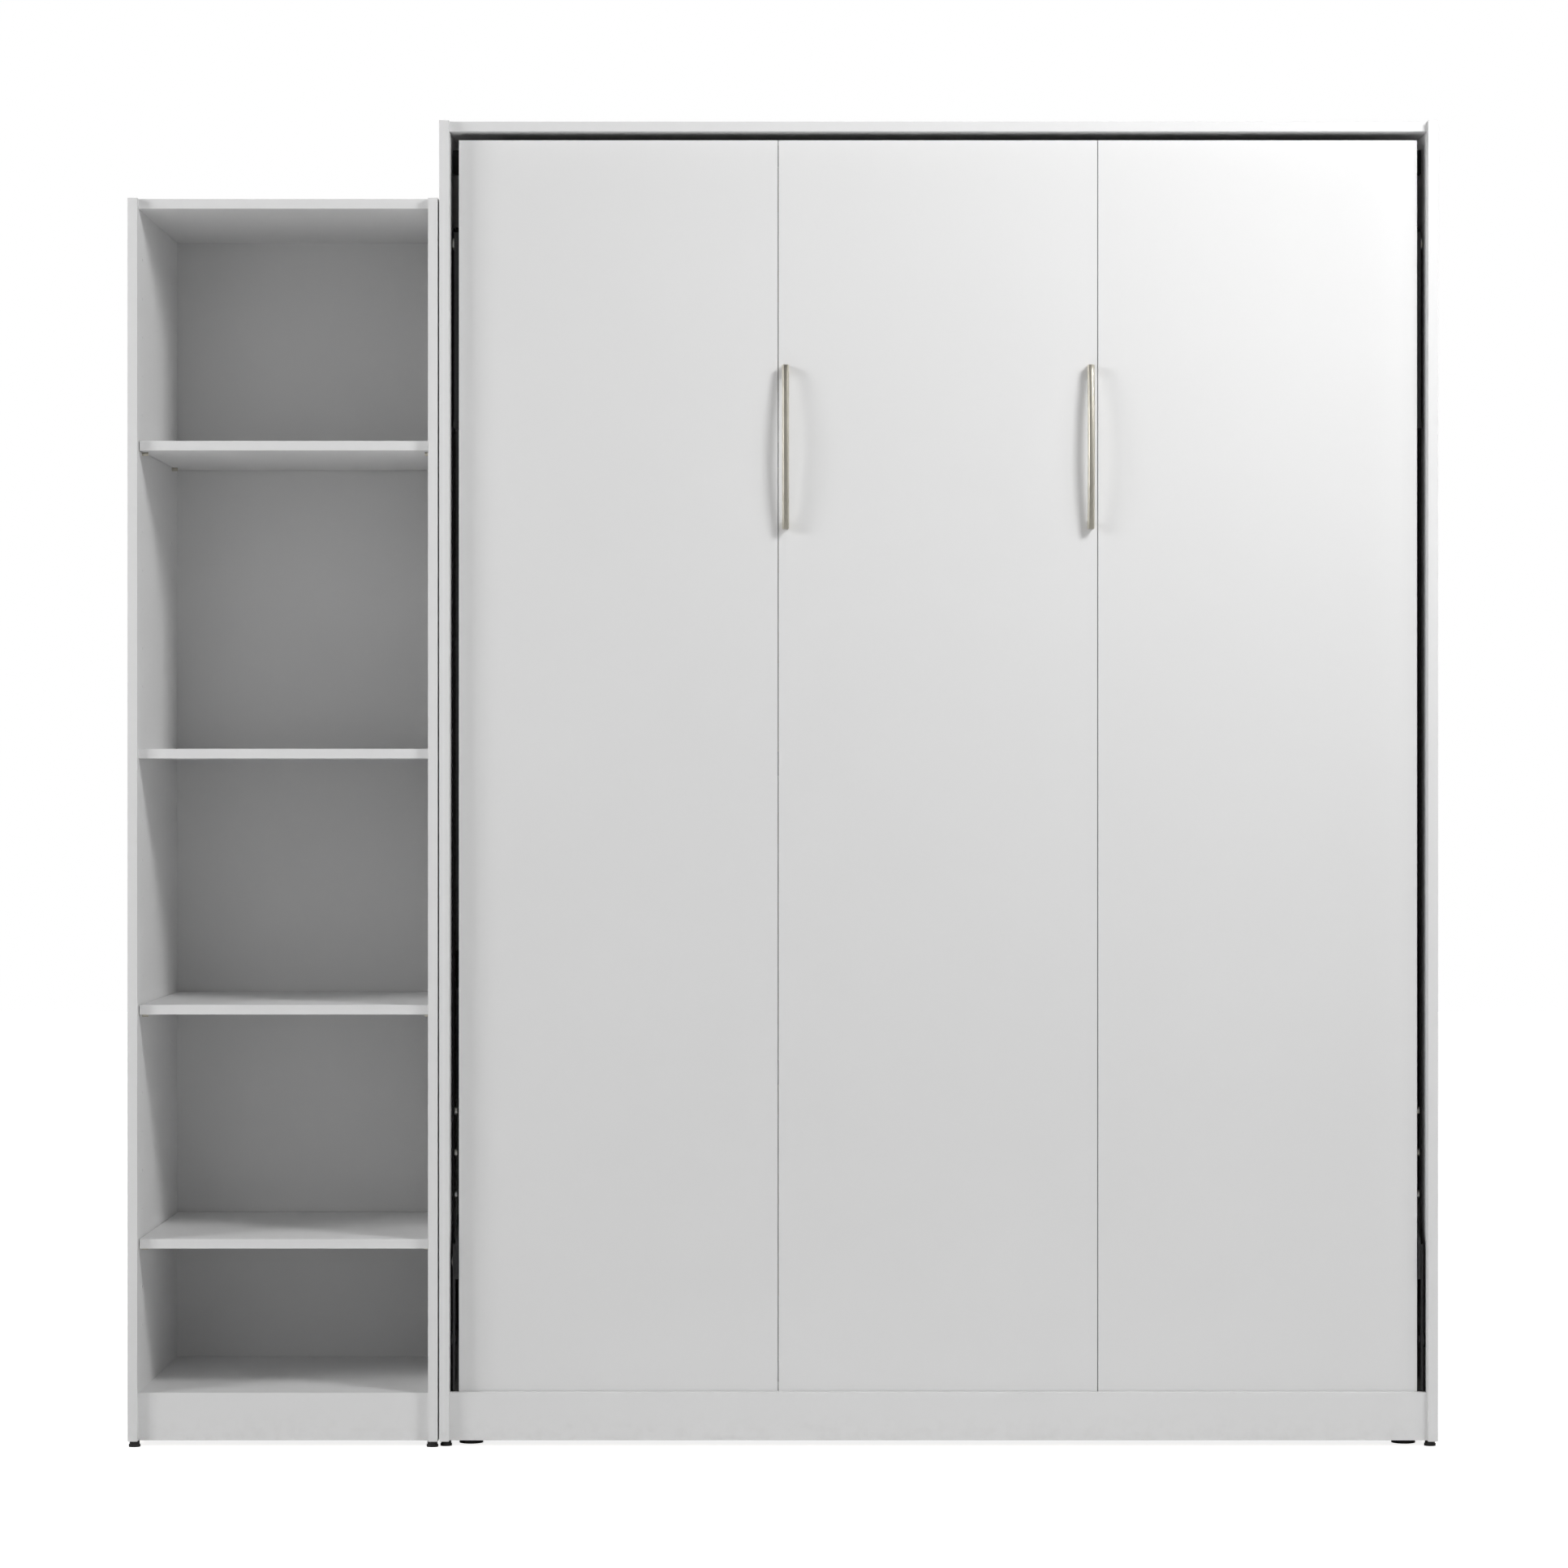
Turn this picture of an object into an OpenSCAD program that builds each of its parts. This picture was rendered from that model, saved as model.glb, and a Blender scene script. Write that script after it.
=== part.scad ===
// Queen-size wall bed that tilts out of an upright cabinet, with an open shelving unit beside it.
// Frame: X to the right, Y from the front to the wall, Z up. The origin is on the floor, under the
// middle of the whole set. The bed is drawn closed. All sizes are in millimetres.

/* [Mattress] */
// Width of the mattress
mattress_w = 1524; // [990:1:1930]
// Length of the mattress
mattress_l = 2032; // [1880:1:2130]
// Thickness of the mattress
mattress_t = 254; // [150:1:305]

/* [Cabinet] */
// Thickness of every board
panel_t = 16; // [13:0.5:20]
// Room between the mattress and each side panel
side_space = 49.75; // [49:0.25:70]
// Free space between the swinging mattress corner and the rear rails
back_clear = 67.5; // [40:0.5:120]
// Free space between the swinging mattress corner and the top panel
top_clear = 6; // [4:0.5:30]
// How far the top, the kick boards and the shelves stand behind the side panels' front edges
front_recess = 16; // [8:0.5:24]
// Height of the glides under the side panels
glide_h = 10; // [6:0.5:15]
// Height of the kick boards' top edges above the floor
kick_top = 89; // [74:1:120]
// Height of each rear rail
rear_rail_h = 100; // [80:1:140]
// Height of the headboard panel
headboard_h = 600; // [300:1:900]
// Distance between neighbouring wall screws
stud_pitch = 406.4; // [300:0.1:600]

/* [Bed face] */
// Gap between the kick board's back and the face's front
face_gap = 1.5; // [1:0.5:12]
// Gap between the face and each side panel
face_side_gap = 14.3; // [14:0.1:20]
// Gap between the face and the top panel
face_top_gap = 12.5; // [10:0.5:20]
// Seam between neighbouring face panels
face_seam = 0.6; // [0.4:0.1:4]
// How far the face reaches down behind the kick board
face_overlap = 14; // [5:1:25]

/* [Handles] */
// Length of a handle
handle_l = 273; // [150:1:400]
// Width of a handle
handle_w = 11.6; // [8:0.1:16]
// Thickness of a handle's bar
handle_t = 7; // [5:0.5:9]
// Bevel along a handle's long edges
handle_bevel = 2.6; // [1:0.1:3]
// Reach of a handle's ends from the face
handle_end_reach = 20; // [16:0.5:24]
// Reach of a handle's middle from the face
handle_reach = 32; // [24:0.5:33]
// Distance from a seam to the middle of the handle beside it
handle_inset = 12; // [10:0.5:60]
// Height of the handles' middle above the floor
handle_z = 1660; // [1200:1:1800]

/* [Mechanism] */
// Height of the tilt axis above the floor
pivot_h = 303; // [252:1:364]
// Distance from the face's back to the tilt axis
pivot_setback = 15.5; // [14:0.5:20]
// Thickness of the steel plates
plate_t = 4; // [3:0.1:4.2]
// Radius of the tilt axis's bolts
pivot_r = 8; // [6:0.5:9]
// Size of the frame tubes across the bed
rail_w = 30; // [26:1:32]
// Depth of the frame tubes
rail_d = 40; // [36:1:50]
// Wall of the frame tubes
tube_t = 2; // [1.5:0.5:3]
// Distance from the frame's foot end to the legs' axis
leg_inset = 162; // [80:1:400]
// Width of a leg's bar
leg_w = 36; // [30:1:40]
// Arm of the linkage that keeps the legs upright, the same across and along
crank = 21; // [20:0.5:24]
// Place of the strut's bracket behind and above the tilt axis
strut_top = [127, 483];
// Place of the strut's stud on the bed's arm, behind and above the tilt axis
strut_foot = [70, -120];
// Radius of a strut's barrel
barrel_r = 11; // [9:0.5:11]
// Number of slats on each side of the centre rail
slat_count = 13; // [8:1:16]
// Width of a slat
slat_w = 53; // [40:1:68]

/* [Shelving unit] */
// Width of the shelving unit
unit_w = 514; // [300:1:900]
// Height of the shelving unit
unit_h = 2071.5; // [1800:0.5:2190]
// Height of the seam between the upper and the lower side panels
seam_h = 1158.5; // [1000:0.5:1300]
// Gap between the shelving unit and the bed cabinet
unit_gap = 2.5; // [1:0.5:10]
// Thickness of the back boards
back_t = 3; // [2:0.5:6]
// Pitch of the shelf-pin holes
hole_pitch = 64.8; // [32:0.1:96]
// Height of the lowest shelf-pin hole above the floor
hole_first = 195.6; // [150:0.1:250]
// Hole, counted from the lowest, that carries the lower loose shelf
lower_shelf_hole = 2; // [1:1:4]
// Hole, counted from the lowest, that carries the middle loose shelf
middle_shelf_hole = 8; // [6:1:10]
// Distance from the seam up to the first hole above it
upper_first = 103.7; // [60:0.1:200]
// Hole, counted down from the highest, that carries the upper loose shelf
upper_shelf_hole = 5; // [2:1:8]
// Gap between a loose shelf and each side panel
shelf_clear = 1.5; // [0.5:0.1:3]

/* [Hidden] */
$fn = 48;

// Colours
white = [0.93, 0.93, 0.93];
shade = [0.80, 0.80, 0.80];
black = [0.10, 0.10, 0.11];
steel = [0.72, 0.72, 0.70];
nickel = [0.78, 0.76, 0.68];
birch = [0.86, 0.73, 0.53];
cloth = [0.90, 0.89, 0.86];

// Depths of the face's front and of the tilt axis behind the side panels' front edges
face_depth = front_recess + panel_t + face_gap;
pivot_depth = face_depth + panel_t + pivot_setback;

// Bed stack, measured behind the tilt axis (dy) and above it (dz) with the bed closed
platform_h = 16;
mattress_gap = 0.5;
frame_dy0 = -pivot_setback;
frame_dy1 = frame_dy0 + rail_d;
mattress_dy0 = frame_dy1 + platform_h + mattress_gap;
mattress_dy1 = mattress_dy0 + mattress_t;
head_margin = 19;
foot_margin = 11;
frame_rise = 28;
face_bottom = kick_top - face_overlap;
frame_bottom = face_bottom + frame_rise;
frame_top = frame_bottom + head_margin + mattress_l + foot_margin;
mattress_z0 = frame_bottom + head_margin;
mattress_z1 = mattress_z0 + mattress_l;
foot_sweep = norm([mattress_dy1, mattress_z1 - pivot_h]);
head_sweep = norm([mattress_dy1, pivot_h - mattress_z0]);

// Cabinet, sized around the mattress's swing and rounded up to whole millimetres
inner_w = mattress_w + 2 * side_space;
cabinet_w = inner_w + 2 * panel_t;
cabinet_h = ceil(pivot_h + foot_sweep + top_clear + panel_t);
cabinet_d = ceil(pivot_depth + head_sweep + back_clear + panel_t);
front_y = -cabinet_d / 2;
back_y = cabinet_d / 2;
board_y = front_y + front_recess;
rear_y = back_y - panel_t;
total_w = unit_w + unit_gap + cabinet_w;
unit_x = -total_w / 2;
cabinet_x = unit_x + unit_w + unit_gap;
wall_left = cabinet_x + panel_t;
wall_right = wall_left + inner_w;
bed_x = (wall_left + wall_right) / 2;
top_z = cabinet_h - panel_t;
pivot_y = front_y + pivot_depth;
headboard_z = 350;
rear_lower_z = 30;
wall_screw_r = 3;

// Face
face_y = front_y + face_depth;
face_x = wall_left + face_side_gap;
face_w = inner_w - 2 * face_side_gap;
face_top = top_z - face_top_gap;
face_panel_w = (face_w - 2 * face_seam) / 3;
face_screw_r = 2;
face_screw_bite = 11;
face_screw_inset = 90;
function face_panel_x(i) = face_x + i * (face_panel_w + face_seam);
face_screw_x = [
    for (i = [0:2]) each [face_panel_x(i) + face_screw_inset, face_panel_x(i) + face_panel_w - face_screw_inset]
];

// Handles
handle_hole_gap = handle_l - 17;
handle_x = [face_panel_x(1) + handle_inset, face_panel_x(1) + face_panel_w - handle_inset];
handle_screw_r = 2;
handle_screw_bite = 10;
handle_screw_head_t = 2.5;

// Layers between a side panel and the bed frame, measured from the panel's inner face
link_t = 3;
link_x = 0.8;
plate_x = 4.3;
arm_x = plate_x + plate_t + 0.4;
leg_x = 5;
leg_t = 7;
rail_x = 14.5;
rail_in = rail_x + rail_w;
strut_x = 28;

// Frame tubes across the bed
cross_d = rail_d / 2;
cross_w = 40;
cross_z = [for (i = [1:3]) frame_bottom + (frame_top - frame_bottom) * i / 4];
end_z = [frame_bottom + rail_w / 2, frame_top - rail_w / 2];
face_screw_z = concat([frame_bottom + 24], cross_z, [end_z[1]]);

// Slats
slat_t = 8;
slat_dy = frame_dy1 + 5.5;
slat_seat = 25;
holder_w = 36;
holder_x = 18;
holder_wall = 3.5;
centre_w = 30;
holder_half = slat_w / 2 + holder_wall;
slat_first = pivot_h - 65 + holder_half;
slat_last = frame_top - 48 - holder_half;
slat_z = [for (i = [0:slat_count - 1]) slat_first + (slat_last - slat_first) * i / (slat_count - 1)];
centre_holder_w = 76;

// Straps, each between two slats, and the parts that stop the mattress at its ends
strap_w = 40;
strap_t = 1.5;
strap_gap = 1;
strap_tab = 24;
strap_z = [for (i = [floor(slat_count * 0.3), floor(slat_count * 0.65)]) (slat_z[i] + slat_z[i + 1]) / 2];
stop_bar_r = 6;
stop_bar_w = 1000;
stop_bar_d = 125;
stop_lip_w = 800;
stop_lip_d = 85;
stop_plate_t = 3;

// Mechanism
run_clear = 0.05;
open_clear = 0.3;
plate_depth = 30;
plate_foot_z = 26;
flange_t = 4;
boss_r = 14;
screw_r = 3;
screw_head_r = 6;
screw_bite = 12;
plate_screw_at = [
    for (z = [plate_foot_z + 34, (plate_foot_z + pivot_h) / 2 + 10]) for (dy = [-16, 82]) [dy, z - pivot_h]
];
plate_screw_top = [82, -12];
screw_points = concat(plate_screw_at, [plate_screw_top]);
nut_r = pivot_r * 1.55;
nut_t = 10;
disc_r = 20;
disc_t = 6;
disc_x = 33;
stud_r = 5;
leg_dy = frame_dy1 - 18.5;
leg_reach = frame_top - leg_inset - pivot_h;
leg_pin_r = 5;
link_pin_r = 4;
link_w = 16;
leg_foot_t = 12;
frame_bolt_r = 4;
frame_bolt_dz = [110, 180, 250];
frame_bolt_dy = frame_dy1 - 9.5;
arm_edge = frame_dy1 - 19.5;
bracket_half = 32;
bracket_t = 3;
stop_half = 20;
stop_z = frame_top - 2 - stop_half;
stop_d = 20;

// Gas struts: the rod slides in the barrel, and the eyes turn on studs
strut_vector = strut_foot - strut_top;
strut_l = norm(strut_vector);
strut_tilt = atan2(-strut_vector[0], -strut_vector[1]);
strut_open = norm([-strut_foot[1], strut_foot[0]] - strut_top);
eye_r = 12;
eye_w = 12;
strut_pin_r = 5;
barrel_wall = 2;
barrel_start = 14;
barrel_l = strut_open - 93;
rod_r = 5;
rod_l = strut_open - 73;
gland_l = 10;

// Shelving unit
unit_in_left = unit_x + panel_t;
unit_in_right = unit_x + unit_w - panel_t;
board_back = back_y - back_t;
rabbet = 8;
pin_head_r = 3;
pin_r = 2.5;
pin_out = 10;
pin_in = 8;
pin_front = 61;
pin_back = 71;
hole_margin = 90;
lower_holes = floor((seam_h - hole_margin - hole_first) / hole_pitch);
upper_holes = floor((unit_h - hole_margin - seam_h - upper_first) / hole_pitch);
lower_hole_z = [for (i = [0:lower_holes]) hole_first + hole_pitch * i];
upper_hole_z = [for (i = [0:upper_holes]) seam_h + upper_first + hole_pitch * i];
shelf_hole_z = [
    lower_hole_z[lower_shelf_hole], lower_hole_z[middle_shelf_hole], upper_hole_z[upper_holes - upper_shelf_hole]
];
hole_y = [front_y + pin_front, back_y - pin_back];

// Cam fittings: [x of the side panel's inner face, direction into the board, y, z, cam side]
// with the cam's mouth on the board's top (0), underside (1) or wall side (2)
cam_r = 7.5;
cam_l = panel_t / 2 + 4.5;
cam_reach = 34;
cam_pin_r = 3;
cam_pin_in = 10;
function ends(x0, x1, y, z, side) = [[x0, 1, y, z, side], [x1, -1, y, z, side]];
top_cam_y = [board_y + 60, (board_y + back_y) / 2, back_y - 60];
bed_cams = concat(
    [for (y = top_cam_y) each ends(wall_left, wall_right, y, top_z + panel_t / 2, 0)],
    ends(wall_left, wall_right, board_y + panel_t / 2, (glide_h + kick_top) / 2, 2),
    ends(wall_left, wall_right, rear_y + panel_t / 2, top_z - rear_rail_h / 2, 2),
    ends(wall_left, wall_right, rear_y + panel_t / 2, rear_lower_z + rear_rail_h / 2, 2),
    [for (z = [headboard_z + 80, headboard_z + headboard_h - 80])
        each ends(wall_left, wall_right, rear_y + panel_t / 2, z, 2)]
);
unit_cams = concat(
    [for (y = [board_y + 60, back_y - 60]) each concat(
        ends(unit_in_left, unit_in_right, y, unit_h - panel_t / 2, 0),
        ends(unit_in_left, unit_in_right, y, seam_h - panel_t / 2, 0),
        ends(unit_in_left, unit_in_right, y, kick_top - panel_t / 2, 1))],
    ends(unit_in_left, unit_in_right, board_y + panel_t / 2, (glide_h + kick_top - panel_t) / 2, 2)
);

// Glides, and the connectors between the shelving unit and the bed cabinet
glide_r = 9.7;
glide_neck_r = 8.4;
glide_flange = 4;
glide_stud_r = 3;
glide_stud_l = 25;
unit_glide_y = [front_y + 5 + glide_r, back_y - 30];
bed_glide_y = [front_y + 17.6 + glide_r, back_y - 30];
connector_r = 3;
connector_head_r = 6;
connector_head_t = 1.5;
connector_at = [for (z = [450, min(unit_h, cabinet_h) - 220]) for (y = [60, 200]) [y, z]];

module box(x0, x1, y0, y1, z0, z1) {
    translate([x0, y0, z0]) cube([x1 - x0, y1 - y0, z1 - z0]);
}

module rod_x(x0, x1, y, z, r) {
    translate([x0, y, z]) rotate([0, 90, 0]) cylinder(h = x1 - x0, r = r);
}

module rod_y(x, y0, y1, z, r) {
    translate([x, y0, z]) rotate([-90, 0, 0]) cylinder(h = y1 - y0, r = r);
}

module rod_z(x, y, z0, z1, r) {
    translate([x, y, z0]) cylinder(h = z1 - z0, r = r);
}

// Places what is drawn outward from a side panel's inner face: -1 left, 1 right
module on_wall(side) {
    if (side < 0) translate([wall_left, 0, 0]) children();
    else translate([wall_right, 0, 0]) mirror([1, 0, 0]) children();
}

module on_walls() {
    on_wall(-1) children();
    on_wall(1) children();
}

// Moves to the tilt axis
module at_pivot() {
    translate([0, pivot_y, pivot_h]) children();
}

// A flat plate of thickness t from x, its outline given as [dy, dz]
module plate(x, t) {
    translate([x, 0, 0]) rotate([90, 0, 90]) linear_extrude(t) children();
}

// Square tube closed along one axis and open at its ends
module tube_x(x0, x1, y0, y1, z0, z1) {
    difference() {
        box(x0, x1, y0, y1, z0, z1);
        box(x0 - 1, x1 + 1, y0 + tube_t, y1 - tube_t, z0 + tube_t, z1 - tube_t);
    }
}

module tube_z(x0, x1, y0, y1, z0, z1) {
    difference() {
        box(x0, x1, y0, y1, z0, z1);
        box(x0 + tube_t, x1 - tube_t, y0 + tube_t, y1 - tube_t, z0 - 1, z1 + 1);
    }
}

// Cam fittings and their holes

// Cam housing; over is how far its hole runs out past the board's surface
module cam(j, over) {
    translate([j[0] + j[1] * cam_reach, j[2], j[3]])
        rotate(j[4] == 0 ? [0, 0, 0] : j[4] == 1 ? [180, 0, 0] : [-90, 0, 0])
            translate([0, 0, panel_t / 2 - cam_l]) cylinder(h = cam_l + over, r = cam_r);
}

module cam_pin(j) {
    inner = cam_reach - cam_r - 0.5;
    x0 = j[0] + (j[1] > 0 ? -cam_pin_in : -inner);
    rod_x(x0, x0 + cam_pin_in + inner, j[2], j[3], cam_pin_r);
}

module cams(joints, over) {
    for (j = joints) {
        cam(j, over);
        cam_pin(j);
    }
}

module cam_cuts(joints) { cams(joints, 1); }

// Bed cabinet

// Holes for the studs of the glides, which stand flush with the outer faces at x0 and x1
module glide_stud_holes(x0, x1, ys) {
    for (x = [x0 + glide_r, x1 - glide_r]) for (y = ys)
        rod_z(x, y, glide_h - 1, glide_h + glide_stud_l, glide_stud_r);
}

module connector_holes() {
    for (p = connector_at) rod_x(-total_w, 0, p[0], p[1], connector_r);
}

module bed_side(side) {
    x0 = side < 0 ? cabinet_x : wall_right;
    color(white) difference() {
        box(x0, x0 + panel_t, front_y, back_y, glide_h, cabinet_h);
        cam_cuts(bed_cams);
        glide_stud_holes(cabinet_x, cabinet_x + cabinet_w, bed_glide_y);
        on_wall(side) at_pivot() for (p = screw_points)
            rod_x(-screw_bite, 1, p[0], p[1], screw_r);
        on_wall(side) bracket_screws(screw_bite);
        on_wall(side) stop_screws(screw_bite);
        if (side < 0) connector_holes();
    }
}

module bed_side_left() { bed_side(-1); }

module bed_side_right() { bed_side(1); }

module bed_top() {
    color(white) difference() {
        box(wall_left, wall_right, board_y, back_y, top_z, cabinet_h);
        cam_cuts(bed_cams);
    }
}

module bed_kick_board() {
    color(white) difference() {
        box(wall_left, wall_right, board_y, board_y + panel_t, glide_h, kick_top);
        cam_cuts(bed_cams);
    }
}

module headboard() {
    color(white) difference() {
        box(wall_left, wall_right, rear_y, back_y, headboard_z, headboard_z + headboard_h);
        cam_cuts(bed_cams);
    }
}

module rear_rail_upper() {
    color(white) difference() {
        box(wall_left, wall_right, rear_y, back_y, top_z - rear_rail_h, top_z);
        cam_cuts(bed_cams);
        for (k = [-1.5, -0.5, 0.5, 1.5])
            rod_y(bed_x + k * stud_pitch, rear_y - 1, back_y + 1, top_z - rear_rail_h / 2, wall_screw_r);
    }
}

module rear_rail_lower() {
    color(white) difference() {
        box(wall_left, wall_right, rear_y, back_y, rear_lower_z, rear_lower_z + rear_rail_h);
        cam_cuts(bed_cams);
        for (k = [-1, 1])
            rod_y(bed_x + k * stud_pitch, rear_y - 1, back_y + 1, rear_lower_z + rear_rail_h / 2, wall_screw_r);
    }
}

// Steel plate that stands on a levelling foot and is screwed to the side panel
module pivot_plates() {
    front = plate_depth - pivot_depth;
    notch = front_recess + panel_t + 0.5 - pivot_depth;
    foot = plate_foot_z - pivot_h;
    step = kick_top + 2 - pivot_h;
    color(black) on_walls() at_pivot() difference() {
        union() {
            plate(plate_x, plate_t) polygon([
                [notch, foot], [100, foot], [100, 8], [62, 31], [front, 31], [front, step], [notch, step]
            ]);
            for (p = screw_points) rod_x(0, plate_x, p[0], p[1], boss_r);
            box(plate_x, 60, notch, 35, foot, foot + flange_t);
            rod_x(1, plate_x, crank, crank, link_pin_r);
        }
        rod_x(-1, plate_x + plate_t + 1, 0, 0, pivot_r);
        for (p = screw_points) {
            rod_x(-1, plate_x + 1, p[0], p[1], screw_r);
            translate([plate_x + plate_t - screw_head_r + screw_r, p[0], p[1]]) rotate([0, 90, 0])
                cylinder(h = screw_head_r - screw_r, r1 = screw_r, r2 = screw_head_r);
            rod_x(plate_x, plate_x + plate_t, p[0], p[1], screw_r);
        }
        rod_z(disc_x, 0, foot - 1, foot + flange_t + 1, stud_r);
    }
}

module plate_screws() {
    color(steel) on_walls() at_pivot() for (p = screw_points) {
        rod_x(-screw_bite, plate_x + plate_t - 1, p[0], p[1], screw_r);
        translate([plate_x + plate_t - screw_head_r + screw_r, p[0], p[1]]) rotate([0, 90, 0])
            cylinder(h = screw_head_r - screw_r, r1 = screw_r, r2 = screw_head_r);
    }
}

// Tilt bolts, with their nuts inside the frame rails
module pivot_bolts() {
    end = rail_x + tube_t + 15;
    color(steel) on_walls() at_pivot() {
        rod_x(1, plate_x, 0, 0, pivot_r + 3);
        rod_x(plate_x, end, 0, 0, pivot_r);
        translate([end - nut_t - 2, 0, 0]) rotate([0, 90, 0]) cylinder(h = nut_t, r = nut_r, $fn = 6);
    }
}

module levelling_feet() {
    stud_top = plate_foot_z + flange_t + 14;
    color(black) on_walls() translate([disc_x, pivot_y, 0]) {
        cylinder(h = disc_t, r = disc_r);
        cylinder(h = stud_top, r = stud_r);
        translate([0, 0, plate_foot_z + flange_t]) cylinder(h = 7, r = stud_r * 1.75, $fn = 6);
    }
}

module bracket_screws(bite) {
    at_pivot() for (s = [-1, 1])
        rod_x(-bite, 0, strut_top[0], strut_top[1] + s * (bracket_half - 10), screw_r);
}

module strut_brackets() {
    near = strut_x - eye_w / 2 - 0.5;
    far = strut_x + eye_w / 2 + 0.5;
    color(black) on_walls() {
        at_pivot() translate([0, strut_top[0], strut_top[1]]) {
            box(0, bracket_t, -18, 18, -bracket_half, bracket_half);
            rod_x(bracket_t, near, 0, 0, strut_pin_r + 3);
            rod_x(bracket_t, far, 0, 0, strut_pin_r);
            rod_x(far, far + 2.5, 0, 0, strut_pin_r + 3);
            for (s = [-1, 1]) rod_x(0, bracket_t + 2, 0, s * (bracket_half - 10), 6);
        }
        bracket_screws(screw_bite);
    }
}

module stop_screws(bite) {
    for (s = [-1, 1])
        rod_x(-bite, 0, pivot_y + frame_dy1 + 0.5 + stop_d / 2, stop_z + s * 10, screw_r);
}

// Blocks that the closed frame rests against
module closing_stops() {
    y0 = pivot_y + frame_dy1 + 0.5;
    color(black) on_walls() {
        box(0, rail_in - 6, y0, y0 + stop_d, stop_z - stop_half, stop_z + stop_half);
        stop_screws(screw_bite);
    }
}

module glide(x, y) {
    rod_z(x, y, 0, glide_flange, glide_r);
    rod_z(x, y, glide_flange, glide_h, glide_neck_r);
    rod_z(x, y, glide_h, glide_h + glide_stud_l, glide_stud_r);
}

module panel_glides() {
    color(black) {
        for (x = [unit_x + glide_r, unit_x + unit_w - glide_r]) for (y = unit_glide_y) glide(x, y);
        for (x = [cabinet_x + glide_r, cabinet_x + cabinet_w - glide_r]) for (y = bed_glide_y) glide(x, y);
    }
}

module cam_fittings() {
    color(steel) cams(concat(bed_cams, unit_cams), 0);
}

// Shelving unit

module shelf_holes(x, zs) {
    for (z = zs) for (y = hole_y) rod_x(x - pin_in, x + pin_in, y, z, pin_r);
}

module unit_side(side, z0, z1, zs) {
    x0 = side < 0 ? unit_x : unit_in_right;
    inner = side < 0 ? unit_in_left : unit_in_right;
    color(white) difference() {
        box(x0, x0 + panel_t, front_y, back_y, z0, z1);
        box(unit_in_left - rabbet, unit_in_right + rabbet, board_back, back_y + 1, z0 - 1, z1 + 1);
        cam_cuts(unit_cams);
        shelf_holes(inner, zs);
        if (z0 < seam_h) glide_stud_holes(unit_x, unit_x + unit_w, unit_glide_y);
        if (side > 0) connector_holes();
    }
}

module unit_side_lower_left() { unit_side(-1, glide_h, seam_h, lower_hole_z); }

module unit_side_lower_right() { unit_side(1, glide_h, seam_h, lower_hole_z); }

module unit_side_upper_left() { unit_side(-1, seam_h, unit_h, upper_hole_z); }

module unit_side_upper_right() { unit_side(1, seam_h, unit_h, upper_hole_z); }

// Board between the unit's side panels, its top surface at z
module unit_board(y0, z) {
    color(white) difference() {
        box(unit_in_left, unit_in_right, y0, board_back, z - panel_t, z);
        cam_cuts(unit_cams);
    }
}

module unit_top() { unit_board(board_y, unit_h); }

module unit_fixed_shelf() { unit_board(board_y, seam_h); }

module unit_bottom_shelf() { unit_board(board_y + panel_t, kick_top); }

// Loose shelf, lying on the pins in the holes at height z
module loose_shelf(z) {
    color(white) box(unit_in_left + shelf_clear, unit_in_right - shelf_clear, board_y + 1, board_back - 2,
        z + pin_head_r, z + pin_head_r + panel_t);
}

module unit_shelf_upper() { loose_shelf(shelf_hole_z[2]); }

module unit_shelf_middle() { loose_shelf(shelf_hole_z[1]); }

module unit_shelf_lower() { loose_shelf(shelf_hole_z[0]); }

module shelf_pins() {
    color(nickel) for (z = shelf_hole_z) for (y = hole_y) {
        rod_x(unit_in_left - pin_in, unit_in_left, y, z, pin_r);
        rod_x(unit_in_left, unit_in_left + pin_out, y, z, pin_head_r);
        rod_x(unit_in_right, unit_in_right + pin_in, y, z, pin_r);
        rod_x(unit_in_right - pin_out, unit_in_right, y, z, pin_head_r);
    }
}

module unit_kick_board() {
    color(white) difference() {
        box(unit_in_left, unit_in_right, board_y, board_y + panel_t, glide_h, kick_top);
        cam_cuts([for (j = unit_cams) if (j[4] == 2) j]);
    }
}

module unit_back(z0, z1) {
    color(shade) box(unit_in_left - rabbet, unit_in_right + rabbet, board_back, back_y, z0, z1);
}

module unit_back_upper() { unit_back(seam_h, unit_h); }

module unit_back_lower() { unit_back(glide_h, seam_h); }

module connector_bolts() {
    x0 = unit_in_right;
    x1 = wall_left;
    color(steel) for (p = connector_at) {
        rod_x(x0 - connector_head_t, x0, p[0], p[1], connector_head_r);
        rod_x(x0, x1, p[0], p[1], connector_r);
        rod_x(unit_x + unit_w, cabinet_x, p[0], p[1], connector_head_r);
        rod_x(x1, x1 + connector_head_t, p[0], p[1], connector_head_r);
    }
}

// Tilting bed: face, handles and frame

// Shanks of the screws that hold the face to the tubes; an end rail is rail_d deep, a cross member cross_d
module face_screw_shanks() {
    back = face_y + panel_t;
    for (x = face_screw_x) for (i = [0:4]) rod_y(x, back - face_screw_bite,
        back + (i == 0 || i == 4 ? rail_d : cross_d), face_screw_z[i], face_screw_r);
}

module face_screws() {
    back = face_y + panel_t;
    color(steel) {
        face_screw_shanks();
        for (x = face_screw_x) for (i = [0:4]) {
            y = back + (i == 0 || i == 4 ? rail_d : cross_d);
            rod_y(x, y, y + 2.5, face_screw_z[i], face_screw_r * 2);
        }
    }
}

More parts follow.
